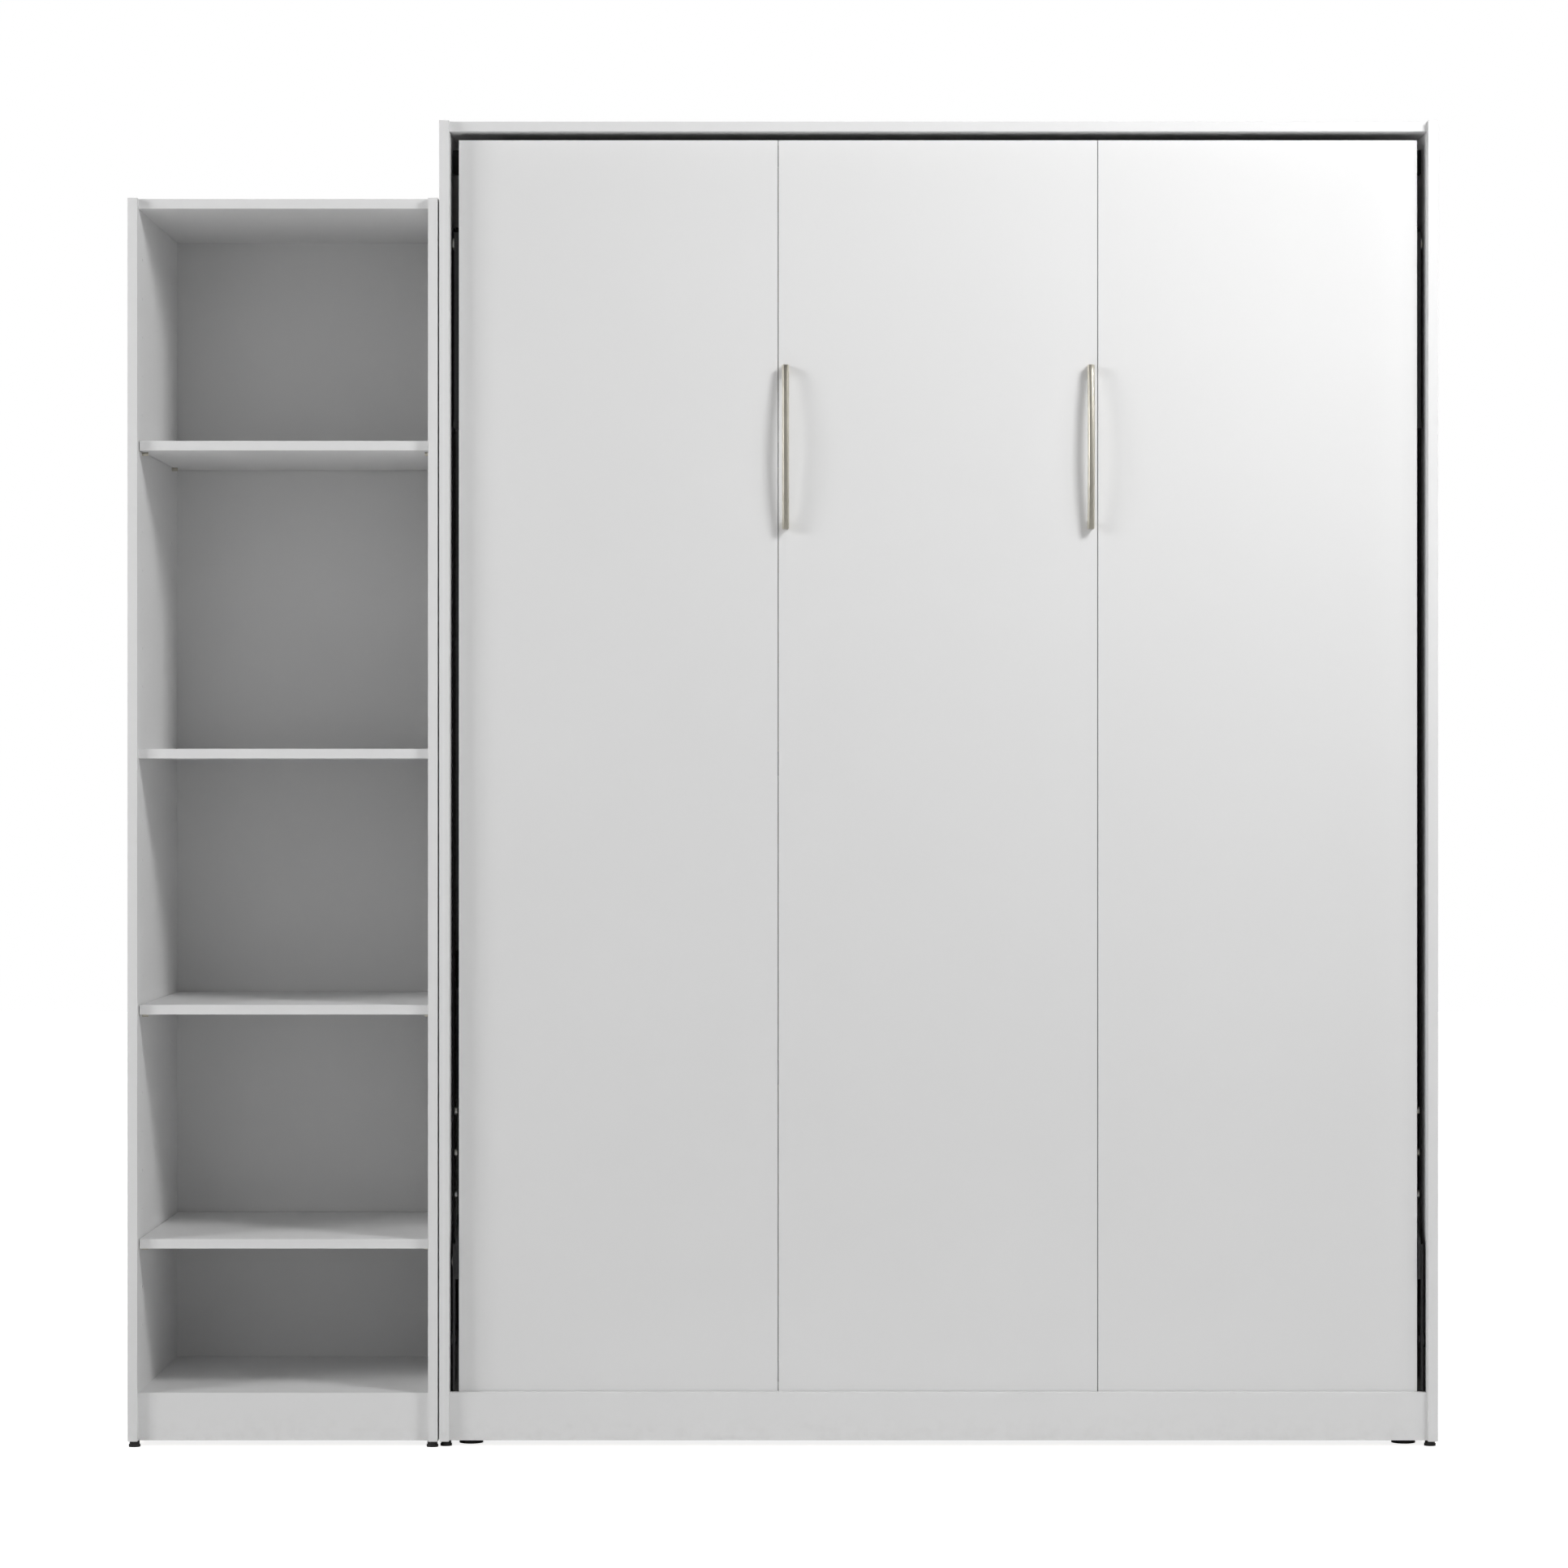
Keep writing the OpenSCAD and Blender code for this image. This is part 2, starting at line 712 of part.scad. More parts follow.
// Screws that hold the handles, their heads sunk into the face's back
module handle_screw_shapes() {
    back = face_y + panel_t;
    for (x = handle_x) for (s = [-0.5, 0.5]) {
        z = handle_z + s * handle_hole_gap;
        rod_y(x, face_y - handle_screw_bite, back, z, handle_screw_r);
        rod_y(x, back - handle_screw_head_t, back, z, handle_screw_r * 2);
    }
}

module face_panel(i) {
    color(white) difference() {
        box(face_panel_x(i), face_panel_x(i) + face_panel_w, face_y, face_y + panel_t, face_bottom, face_top);
        face_screw_shanks();
        if (i == 1) handle_screw_shapes();
    }
}

module face_panel_left() { face_panel(0); }

module face_panel_middle() { face_panel(1); }

module face_panel_right() { face_panel(2); }

// Bowed bar with bevelled long edges on two end posts
module handle(x) {
    sag = handle_reach - handle_end_reach;
    bow_r = (handle_l * handle_l / 4 + sag * sag) / (2 * sag);
    half = asin(handle_l / 2 / bow_r);
    w = handle_w / 2;
    b = handle_bevel;
    section = [[-w, 0], [w, 0], [w, handle_t - b], [w - b, handle_t], [b - w, handle_t], [-w, handle_t - b]];
    post_l = 14;
    color(nickel) difference() {
        translate([x, face_y, handle_z]) union() {
            translate([0, bow_r - handle_reach, 0]) rotate([0, 90, 0]) rotate([0, 0, 270 - half])
                rotate_extrude(angle = 2 * half, $fn = 180)
                    polygon([for (p = section) [bow_r - handle_t + p[1], p[0]]]);
            for (s = [0, 1]) mirror([0, 0, s])
                box(1 - w, w - 1, 2 - handle_end_reach, 0, handle_l / 2 - post_l, handle_l / 2 - 0.5);
        }
        handle_screw_shapes();
    }
}

module handle_left() { handle(handle_x[0]); }

module handle_right() { handle(handle_x[1]); }

module handle_screws() {
    color(steel) handle_screw_shapes();
}

module frame_rail(side) {
    color(black) on_wall(side) difference() {
        tube_z(rail_x, rail_in, pivot_y + frame_dy0, pivot_y + frame_dy1, frame_bottom, frame_top);
        at_pivot() {
            rod_x(rail_x - 1, rail_in + 1, 0, 0, pivot_r + 6);
            for (dz = frame_bolt_dz) rod_x(rail_x - 1, rail_x + tube_t + 1, frame_bolt_dy, dz, frame_bolt_r);
            rod_x(rail_x - 1, rail_x + tube_t + 1, leg_dy, leg_reach, leg_pin_r);
        }
    }
}

module frame_rail_left() { frame_rail(-1); }

module frame_rail_right() { frame_rail(1); }

module end_rail(z) {
    color(black) difference() {
        tube_x(wall_left + rail_in, wall_right - rail_in, pivot_y + frame_dy0, pivot_y + frame_dy1,
            z - rail_w / 2, z + rail_w / 2);
        face_screw_shanks();
    }
}

module frame_rail_head() { end_rail(end_z[0]); }

module frame_rail_foot() { end_rail(end_z[1]); }

module cross_member(z) {
    color(black) difference() {
        tube_x(wall_left + rail_in, wall_right - rail_in, pivot_y + frame_dy0, pivot_y + frame_dy0 + cross_d,
            z - cross_w / 2, z + cross_w / 2);
        face_screw_shanks();
    }
}

module cross_member_low() { cross_member(cross_z[0]); }

module cross_member_mid() { cross_member(cross_z[1]); }

module cross_member_high() { cross_member(cross_z[2]); }

module centre_rail() {
    color(black) tube_z(bed_x - centre_w / 2, bed_x + centre_w / 2, pivot_y + frame_dy0 + cross_d,
        pivot_y + frame_dy1, frame_bottom + rail_w, frame_top - rail_w);
}

// Slats, from a holder on the side rail to a holder on the centre rail
module slat_bars() {
    x0 = wall_left + holder_x + holder_w - slat_seat;
    x1 = bed_x - centre_holder_w / 2 + slat_seat;
    for (z = slat_z) for (m = [0, 1]) {
        a = m == 0 ? x0 : 2 * bed_x - x1;
        box(a, a + x1 - x0, pivot_y + slat_dy, pivot_y + slat_dy + slat_t, z - slat_w / 2, z + slat_w / 2);
    }
}

module slats() {
    color(birch) slat_bars();
}

module slat_holders() {
    y0 = pivot_y + frame_dy1;
    color(black) difference() {
        for (z = slat_z) {
            on_walls() box(holder_x, holder_x + holder_w, y0, y0 + platform_h, z - holder_half, z + holder_half);
            box(bed_x - centre_holder_w / 2, bed_x + centre_holder_w / 2, y0, y0 + platform_h,
                z - holder_half, z + holder_half);
        }
        slat_bars();
    }
}

// Arm that turns on the tilt bolt, bolted to the frame rail, with a stud for the strut
module pivot_arms() {
    front = plate_depth - pivot_depth;
    color(black) on_walls() at_pivot() difference() {
        union() {
            plate(arm_x, plate_t) polygon([
                [front, -27], [front, 37], [arm_edge, 37 - front + arm_edge], [arm_edge, 272], [frame_dy1, 272],
                [frame_dy1, 84], [strut_foot[0] + 20, strut_foot[1] + 34],
                [strut_foot[0] + 20, strut_foot[1] - 18], [strut_foot[0] - 18, strut_foot[1] - 22],
                [14, -60], [-6, -27]
            ]);
            for (dz = frame_bolt_dz) rod_x(arm_x + plate_t, rail_x, frame_bolt_dy, dz, 9);
            rod_x(arm_x + plate_t, strut_x - eye_w / 2 - 0.5, strut_foot[0], strut_foot[1], strut_pin_r);
        }
        rod_x(arm_x - 1, rail_x, 0, 0, pivot_r + run_clear);
        for (dz = frame_bolt_dz) rod_x(arm_x - 1, rail_x + 1, frame_bolt_dy, dz, frame_bolt_r);
    }
}

// Bolts that hold the arms, and the bolts that the legs turn on
module frame_bolts() {
    color(steel) on_walls() at_pivot() {
        for (dz = frame_bolt_dz) {
            rod_x(arm_x - 4, arm_x, frame_bolt_dy, dz, 7);
            rod_x(arm_x, rail_x + tube_t + 6, frame_bolt_dy, dz, frame_bolt_r);
        }
        rod_x(leg_x - 3.3, leg_x - 0.3, leg_dy, leg_reach, leg_pin_r * 2);
        rod_x(leg_x - 0.3, rail_x + tube_t + 6, leg_dy, leg_reach, leg_pin_r);
    }
}

module mattress() {
    color(cloth) box(bed_x - mattress_w / 2, bed_x + mattress_w / 2, pivot_y + mattress_dy0,
        pivot_y + mattress_dy1, mattress_z0, mattress_z1);
}

// Belts that hold the mattress to the frame rails
module mattress_straps() {
    x0 = bed_x - mattress_w / 2 - strap_gap;
    x1 = bed_x + mattress_w / 2 + strap_gap;
    y0 = pivot_y + frame_dy1;
    y1 = pivot_y + mattress_dy1 + strap_gap;
    color(black) for (z = strap_z) {
        difference() {
            box(x0 - strap_t, x1 + strap_t, y0, y1 + strap_t, z - strap_w / 2, z + strap_w / 2);
            box(x0, x1, y0 - 1, y1, z - strap_w, z + strap_w);
        }
        on_walls() box(rail_in - strap_tab, side_space - strap_gap, y0, y0 + strap_t, z - strap_w / 2,
            z + strap_w / 2);
    }
}

// Lip under the mattress's head end and bent bar at its foot end
module mattress_stops() {
    y0 = pivot_y + frame_dy1;
    lip_z = mattress_z0 - 0.5;
    bar_z = mattress_z1 + 1 + stop_bar_r;
    bend = 30;
    color(black) {
        box(bed_x - stop_lip_w / 2, bed_x + stop_lip_w / 2, y0, y0 + stop_plate_t, frame_bottom + 2, lip_z);
        box(bed_x - stop_lip_w / 2, bed_x + stop_lip_w / 2, y0, y0 + stop_lip_d, lip_z - stop_plate_t, lip_z);
        for (s = [-1, 1]) {
            rod_y(bed_x + s * stop_bar_w / 2, y0, y0 + stop_bar_d - bend, bar_z, stop_bar_r);
            translate([bed_x + s * (stop_bar_w / 2 - bend), y0 + stop_bar_d - bend, bar_z])
                rotate([0, 0, s > 0 ? 0 : 90]) rotate_extrude(angle = 90)
                    translate([bend, 0]) circle(r = stop_bar_r);
        }
        rod_x(bed_x - stop_bar_w / 2 + bend, bed_x + stop_bar_w / 2 - bend, y0 + stop_bar_d, bar_z, stop_bar_r);
    }
}

// Legs, kept upright by the links, and the gas struts

// Flat leg hanging from its bolt; with the bed open its foot stands on the floor
module leg(side) {
    length = pivot_h + leg_dy;
    w = leg_w / 2;
    color(black) on_wall(side) at_pivot() translate([0, leg_dy, leg_reach]) {
        difference() {
            union() {
                box(leg_x, leg_x + leg_t, -w, w, leg_foot_t - length, w);
                plate(leg_x, leg_t) polygon([[0, w], [w, 0], [crank + 7, crank - 7], [crank - 7, crank + 7]]);
                rod_x(leg_x, leg_x + leg_t, crank, crank, 10);
                rod_x(leg_x + leg_t, rail_x - 0.3, 0, 0, 11);
                rod_x(1, leg_x, crank, crank, link_pin_r);
            }
            rod_x(leg_x - 1, rail_x, 0, 0, leg_pin_r + run_clear);
        }
        box(leg_x - 1, leg_x + leg_t + 1, -w - 4, w + 4, -length, leg_foot_t - length);
    }
}

module leg_left() { leg(-1); }

module leg_right() { leg(1); }

// Bar from the crank on the leg to the stud on the pivot plate, always parallel to the bed
module link(side) {
    length = norm([leg_dy, leg_reach]);
    tilt = atan2(leg_dy, leg_reach);
    color(black) on_wall(side) at_pivot() translate([0, crank, crank]) rotate([-tilt, 0, 0]) difference() {
        union() {
            box(link_x, link_x + link_t, -link_w / 2, link_w / 2, 0, length);
            for (z = [0, length]) rod_x(link_x, link_x + link_t, 0, z, link_w / 2);
        }
        rod_x(0, plate_x, 0, 0, link_pin_r + open_clear);
        rod_x(0, plate_x, 0, length, link_pin_r + run_clear);
    }
}

module link_left() { link(-1); }

module link_right() { link(1); }

// Moves to a strut's bracket and turns so that -Z runs along the strut
module along_strut(side) {
    on_wall(side) at_pivot() translate([strut_x, strut_top[0], strut_top[1]])
        rotate([-strut_tilt, 0, 0]) mirror([0, 0, 1]) children();
}

module strut_eye() {
    rod_x(-eye_w / 2, eye_w / 2, 0, 0, eye_r);
}

module strut_cylinder(side) {
    color(black) along_strut(side) difference() {
        union() {
            strut_eye();
            cylinder(h = barrel_start, r = rod_r);
            translate([0, 0, barrel_start]) cylinder(h = barrel_l - barrel_start, r = barrel_r);
        }
        rod_x(-eye_w, eye_w, 0, 0, strut_pin_r + run_clear);
        rod_z(0, 0, barrel_start + 6, barrel_l - gland_l, barrel_r - barrel_wall);
        rod_z(0, 0, barrel_l - gland_l - 1, barrel_l + 1, rod_r + run_clear);
    }
}

module strut_cylinder_left() { strut_cylinder(-1); }

module strut_cylinder_right() { strut_cylinder(1); }

module strut_rod(side) {
    color(steel) along_strut(side) difference() {
        union() {
            translate([0, 0, strut_l]) strut_eye();
            rod_z(0, 0, strut_l - rod_l, strut_l, rod_r);
            rod_z(0, 0, strut_l - rod_l, strut_l - rod_l + 10, barrel_r - barrel_wall - run_clear);
        }
        rod_x(-eye_w, eye_w, 0, strut_l, strut_pin_r + open_clear);
    }
}

module strut_rod_left() { strut_rod(-1); }

module strut_rod_right() { strut_rod(1); }

bed_side_left();
bed_side_right();
bed_top();
bed_kick_board();
headboard();
rear_rail_upper();
rear_rail_lower();
pivot_plates();
plate_screws();
pivot_bolts();
levelling_feet();
strut_brackets();
closing_stops();
panel_glides();
cam_fittings();
unit_side_lower_left();
unit_side_lower_right();
unit_side_upper_left();
unit_side_upper_right();
unit_top();
unit_fixed_shelf();
unit_bottom_shelf();
unit_shelf_upper();
unit_shelf_middle();
unit_shelf_lower();
shelf_pins();
unit_kick_board();
unit_back_upper();
unit_back_lower();
connector_bolts();
face_panel_left();
face_panel_middle();
face_panel_right();
face_screws();
handle_left();
handle_right();
handle_screws();
frame_rail_left();
frame_rail_right();
frame_rail_head();
frame_rail_foot();
cross_member_low();
cross_member_mid();
cross_member_high();
centre_rail();
slats();
slat_holders();
pivot_arms();
frame_bolts();
mattress();
mattress_straps();
mattress_stops();
leg_left();
leg_right();
link_left();
link_right();
strut_cylinder_left();
strut_cylinder_right();
strut_rod_left();
strut_rod_right();
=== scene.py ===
import math

import bmesh
import bpy
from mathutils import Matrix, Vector

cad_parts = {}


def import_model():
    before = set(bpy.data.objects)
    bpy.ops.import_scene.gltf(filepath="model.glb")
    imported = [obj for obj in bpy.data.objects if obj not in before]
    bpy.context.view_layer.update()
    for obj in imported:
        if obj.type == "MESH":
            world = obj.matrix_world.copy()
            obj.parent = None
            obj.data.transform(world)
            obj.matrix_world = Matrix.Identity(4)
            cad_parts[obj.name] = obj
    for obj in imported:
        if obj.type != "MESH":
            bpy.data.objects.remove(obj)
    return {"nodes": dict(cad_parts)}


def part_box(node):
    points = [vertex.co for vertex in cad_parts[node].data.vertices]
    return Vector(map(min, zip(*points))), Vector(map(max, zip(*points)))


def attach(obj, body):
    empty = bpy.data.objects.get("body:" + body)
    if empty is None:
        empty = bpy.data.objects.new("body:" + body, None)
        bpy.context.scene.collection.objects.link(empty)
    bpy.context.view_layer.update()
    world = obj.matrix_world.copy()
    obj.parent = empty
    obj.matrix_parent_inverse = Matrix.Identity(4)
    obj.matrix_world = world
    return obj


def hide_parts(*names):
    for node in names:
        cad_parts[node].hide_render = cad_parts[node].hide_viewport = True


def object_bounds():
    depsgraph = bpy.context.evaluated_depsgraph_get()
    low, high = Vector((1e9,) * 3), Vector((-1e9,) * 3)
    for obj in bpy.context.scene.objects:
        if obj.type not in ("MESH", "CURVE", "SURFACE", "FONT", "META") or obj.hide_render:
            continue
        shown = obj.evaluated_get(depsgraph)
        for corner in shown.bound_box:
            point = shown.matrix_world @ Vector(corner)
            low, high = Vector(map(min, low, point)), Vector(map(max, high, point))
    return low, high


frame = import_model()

CAD_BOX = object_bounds()
NODES = frame["nodes"]
CAD_LO, CAD_HI = CAD_BOX
SET_CENTRE = (CAD_LO + CAD_HI) / 2


# ---------------------------------------------------------------- small helpers

def link_object(name, data):
    """A new object of that mesh, light or camera, in the scene."""
    obj = bpy.data.objects.new(name, data)
    bpy.context.scene.collection.objects.link(obj)
    return obj


def mesh_from(name, build):
    """A new object whose mesh build(bm) fills."""
    bm = bmesh.new()
    build(bm)
    mesh = bpy.data.meshes.new(name)
    bm.to_mesh(mesh)
    bm.free()
    return link_object(name, mesh)


def shade_smooth(obj, angle=None):
    """Smooth faces, with edges over angle (degrees) left sharp."""
    for polygon in obj.data.polygons:
        polygon.use_smooth = True
    if angle is not None:
        obj.data.set_sharp_from_angle(angle=math.radians(angle))


def bake_modifiers(obj):
    """Gives obj the mesh that its modifiers make, and drops them."""
    depsgraph = bpy.context.evaluated_depsgraph_get()
    mesh = bpy.data.meshes.new_from_object(obj.evaluated_get(depsgraph))
    obj.modifiers.clear()
    old = obj.data
    obj.data = mesh
    bpy.data.meshes.remove(old)


# ---------------------------------------------------------------- shader helpers

class Shader:
    """A node material, with one short call for each node."""

    def __init__(self, name):
        self.material = bpy.data.materials.new(name)
        self.material.use_nodes = True
        self.tree = self.material.node_tree
        self.tree.nodes.clear()
        output = self.tree.nodes.new("ShaderNodeOutputMaterial")
        self.surface = self.tree.nodes.new("ShaderNodeBsdfPrincipled")
        self.tree.links.new(self.surface.outputs[0], output.inputs["Surface"])
        self.coords = self.tree.nodes.new("ShaderNodeTexCoord").outputs["Object"]

    def set(self, **sockets):
        """Sets or links the surface's sockets; an underscore stands for a space."""
        for name, value in sockets.items():
            self.put(self.surface.inputs[name.replace("_", " ")], value)

    def put(self, socket, value):
        """Links value into the socket, or sets it there; a colour gets its alpha."""
        if isinstance(value, bpy.types.NodeSocket):
            self.tree.links.new(value, socket)
        elif hasattr(value, "__len__") and len(value) == 3 and socket.type == "RGBA":
            socket.default_value = (*value, 1.0)
        else:
            socket.default_value = value

    def node(self, kind, inputs, out=0, **settings):
        """Adds a node and gives the output called out."""
        made = self.tree.nodes.new("ShaderNode" + kind)
        for name, value in settings.items():
            setattr(made, name, value)
        for name, value in inputs.items():
            self.put(made.inputs[name], value)
        return made.outputs[out]

    def stretch(self, scale):
        """Object coordinates, stretched along each axis."""
        return self.node("Mapping", {"Vector": self.coords, "Scale": scale})

    def noise(self, scale, detail=3.0, roughness=0.5, vector=None, distortion=0.0):
        inputs = {"Vector": vector or self.coords, "Scale": scale, "Detail": detail,
                  "Roughness": roughness, "Distortion": distortion}
        return self.node("TexNoise", inputs, out="Fac")

    def voronoi(self, scale):
        return self.node("TexVoronoi", {"Vector": self.coords, "Scale": scale}, out="Distance")

    def wave(self, scale, direction, distortion=0.0, detail_scale=1.0):
        """Sine bands across that direction."""
        inputs = {"Vector": self.coords, "Scale": scale, "Distortion": distortion,
                  "Detail Scale": detail_scale}
        return self.node("TexWave", inputs, out="Fac", bands_direction=direction)

    def math(self, operation, a, b=0.0):
        return self.node("Math", {0: a, 1: b}, operation=operation)

    def spread(self, value, low, high, to_low=0.0, to_high=1.0):
        """Maps value from low..high to to_low..to_high, clamped."""
        inputs = {"Value": value, "From Min": low, "From Max": high, "To Min": to_low, "To Max": to_high}
        return self.node("MapRange", inputs)

    def mix(self, share, a, b):
        """Colour a where share is 0 and b where it is 1."""
        made = self.tree.nodes.new("ShaderNodeMix")
        made.data_type = "RGBA"
        self.put(made.inputs["Factor"], share)
        for socket, value in ((made.inputs[6], a), (made.inputs[7], b)):
            self.put(socket, value)
        return made.outputs[2]

    def part(self, vector, axis):
        """One component of the vector."""
        return self.node("SeparateXYZ", {"Vector": vector}, out=axis)

    def bump(self, height, distance, strength, below=None):
        """A bump whose full height is distance, on top of the bump below."""
        inputs = {"Height": height, "Distance": distance, "Strength": strength}
        if below is not None:
            inputs["Normal"] = below
        return self.node("Bump", inputs)

    def facing(self, axis):
        """The part of the surface's true normal along an object axis, from -1 to 1."""
        normal = self.node("NewGeometry", {}, out="True Normal")
        local = self.node("VectorTransform", {"Vector": normal}, vector_type="NORMAL",
                          convert_from="WORLD", convert_to="OBJECT")
        return self.part(local, axis)

    def between(self, value, low, high, soft):
        """1 where value is from low to high, falling to 0 over soft."""
        rise = self.spread(value, low - soft, low)
        fall = self.spread(value, high, high + soft, 1.0, 0.0)
        return self.math("MULTIPLY", rise, fall)


# ---------------------------------------------------------------- materials

WHITE = (1.0, 1.0, 1.0)
BOARD_WHITE = (0.835, 0.835, 0.835)
CHIP_BROWN = (0.44, 0.31, 0.18)
BAND_T = 0.0008        # thickness of a board's edge band
GLUE_LINE = 0.00015    # width of the line where the band meets the board
JOINT_SHADE_HALF = 0.0005    # half the width of the painted shade along a joint of the face


def chipboard(shader):
    """Colour of a raw particleboard edge."""
    chips = shader.voronoi(420.0)
    grain = shader.noise(900.0, 4.0, 0.7)
    dark = shader.mix(shader.spread(chips, 0.1, 0.7), CHIP_BROWN, (0.62, 0.47, 0.30))
    return shader.mix(shader.spread(grain, 0.35, 0.7), dark, (0.30, 0.20, 0.11))


def board(name, raw=()):
    """White melamine board. raw lists the sides, as (axis, sign), whose edges are bare particleboard."""
    lo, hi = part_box(name)
    joints = {"face_panel_left": [hi.x], "face_panel_middle": [lo.x, hi.x], "face_panel_right": [lo.x]}
    s = Shader("board_" + name)
    cloud = s.noise(2.4, 2.0)
    fleck = s.noise(1400.0, 2.0, 0.6)
    colour = s.mix(s.spread(cloud, 0.3, 0.7), [c * 0.985 for c in BOARD_WHITE], BOARD_WHITE)
    colour = s.mix(s.spread(fleck, 0.55, 0.8, 0.0, 0.05), colour, (0.70, 0.70, 0.71))
    # the glue line of the edge band, where it meets the broad faces
    front = s.math("SUBTRACT", s.part(s.coords, "Y"), lo.y)
    seam = s.between(front, BAND_T, BAND_T + GLUE_LINE, 0.00012)
    colour = s.mix(s.math("MULTIPLY", seam, 0.35), colour, (0.50, 0.50, 0.50))
    # scuffs and dust close to the floor
    low = s.spread(s.part(s.coords, "Z"), 0.0, 0.06, 1.0, 0.0)
    dust = s.math("MULTIPLY", low, s.spread(s.noise(55.0, 4.0, 0.6), 0.45, 0.75, 0.0, 0.22))
    colour = s.mix(dust, colour, (0.55, 0.54, 0.52))
    rough = s.spread(s.noise(60.0, 3.0), 0.3, 0.7, 0.50, 0.60)
    # painted shade along the joint of two face panels, standing in for the shadow in the narrow gap between
    # them
    for x in joints.get(name, []):
        joint_shade = s.between(s.part(s.coords, "X"), x - JOINT_SHADE_HALF, x + JOINT_SHADE_HALF, 0.0001)
        colour = s.mix(joint_shade, colour, (0.30, 0.30, 0.30))
    for axis, sign in raw:
        cut = s.spread(s.math("MULTIPLY", s.facing(axis), float(sign)), 0.9, 0.95)
        colour = s.mix(cut, colour, chipboard(s))
        rough = s.math("MAXIMUM", rough, s.math("MULTIPLY", cut, 0.85))
    peel = s.bump(s.noise(750.0, 2.0), 0.00003, 0.6)
    wavy = s.bump(s.noise(5.0, 1.0), 0.0006, 0.25, peel)
    s.set(Base_Color=colour, Roughness=rough, Normal=wavy, IOR=1.47, Specular_IOR_Level=0.42)
    return s.material


def back_board():
    """Thin hardboard: painted light grey in front, bare and brown behind."""
    s = Shader("hardboard")
    behind = s.spread(s.facing("Y"), 0.5, 0.9)
    paint = s.mix(s.spread(s.noise(3.0, 3.0), 0.3, 0.7), (0.735, 0.735, 0.735), (0.765, 0.765, 0.765))
    fibre = s.noise(260.0, 6.0, 0.75, s.stretch((1.0, 1.0, 0.35)))
    brown = s.mix(s.spread(fibre, 0.3, 0.75), (0.20, 0.115, 0.055), (0.36, 0.23, 0.125))
    screen = s.math("MULTIPLY", s.wave(300.0, "X"), s.wave(300.0, "Z"))
    height = s.math("ADD", s.math("MULTIPLY", behind, screen), s.math("MULTIPLY", fibre, 0.25))
    rough = s.spread(behind, 0.0, 1.0, 0.58, 0.8)
    normal = s.bump(height, 0.00012, 0.5, s.bump(s.noise(1.6, 1.0), 0.003, 0.3))
    s.set(Base_Color=s.mix(behind, paint, brown), Roughness=rough, Normal=normal, IOR=1.45)
    return s.material


def black_steel():
    """Black powder coat: fine orange peel, worn to grey in a few spots."""
    s = Shader("black_powder_coat")
    peel = s.noise(1300.0, 2.0, 0.6)
    rub = s.spread(s.noise(38.0, 6.0, 0.7), 0.66, 0.8, 0.0, 0.35)
    colour = s.mix(s.spread(s.noise(9.0, 3.0), 0.3, 0.7), (0.009, 0.009, 0.010), (0.015, 0.015, 0.016))
    colour = s.mix(rub, colour, (0.06, 0.06, 0.062))
    rough = s.spread(s.noise(120.0, 3.0), 0.3, 0.7, 0.36, 0.52)
    s.set(Base_Color=colour, Roughness=rough, Normal=s.bump(peel, 0.00006, 0.7), Specular_IOR_Level=0.5)
    return s.material


def black_plastic():
    """Moulded plastic with a fine spark-eroded grain."""
    s = Shader("black_moulded_plastic")
    grain = s.voronoi(2600.0)
    colour = s.mix(s.spread(s.noise(30.0, 3.0), 0.3, 0.7), (0.010, 0.010, 0.011), (0.024, 0.024, 0.025))
    rough = s.spread(s.noise(210.0, 2.0), 0.3, 0.7, 0.42, 0.58)
    s.set(Base_Color=colour, Roughness=rough, Normal=s.bump(grain, 0.00003, 0.6), IOR=1.49)
    return s.material


def stop_rubber():
    s = Shader("stop_rubber")
    bloom = s.spread(s.noise(46.0, 5.0, 0.7), 0.42, 0.78)
    colour = s.mix(bloom, (0.012, 0.012, 0.012), (0.045, 0.044, 0.042))
    s.set(Base_Color=colour, Roughness=s.spread(bloom, 0.0, 1.0, 0.72, 0.9),
          Normal=s.bump(s.noise(900.0, 3.0), 0.0001, 0.5))
    return s.material


def zinc_steel():
    """Zinc-plated fasteners: blue-white with warm spots and fine turning marks."""
    s = Shader("zinc_plate")
    tint = s.spread(s.noise(130.0, 3.0), 0.35, 0.65)
    colour = s.mix(tint, (0.60, 0.62, 0.64), (0.68, 0.65, 0.57))
    spangle = s.voronoi(900.0)
    rough = s.spread(spangle, 0.0, 0.8, 0.26, 0.44)
    s.set(Base_Color=colour, Metallic=1.0, Roughness=rough, Normal=s.bump(spangle, 0.00002, 0.4))
    return s.material


def rod_chrome():
    s = Shader("rod_chrome")
    film = s.spread(s.noise(24.0, 4.0, 0.6), 0.35, 0.75)
    lines = s.noise(2.0, 2.0, 0.5, s.stretch((900.0, 900.0, 4.0)))
    s.set(Base_Color=s.mix(film, (0.66, 0.67, 0.69), (0.52, 0.53, 0.54)), Metallic=1.0,
          Roughness=s.spread(film, 0.0, 1.0, 0.10, 0.22), Normal=s.bump(lines, 0.00001, 0.3))
    return s.material


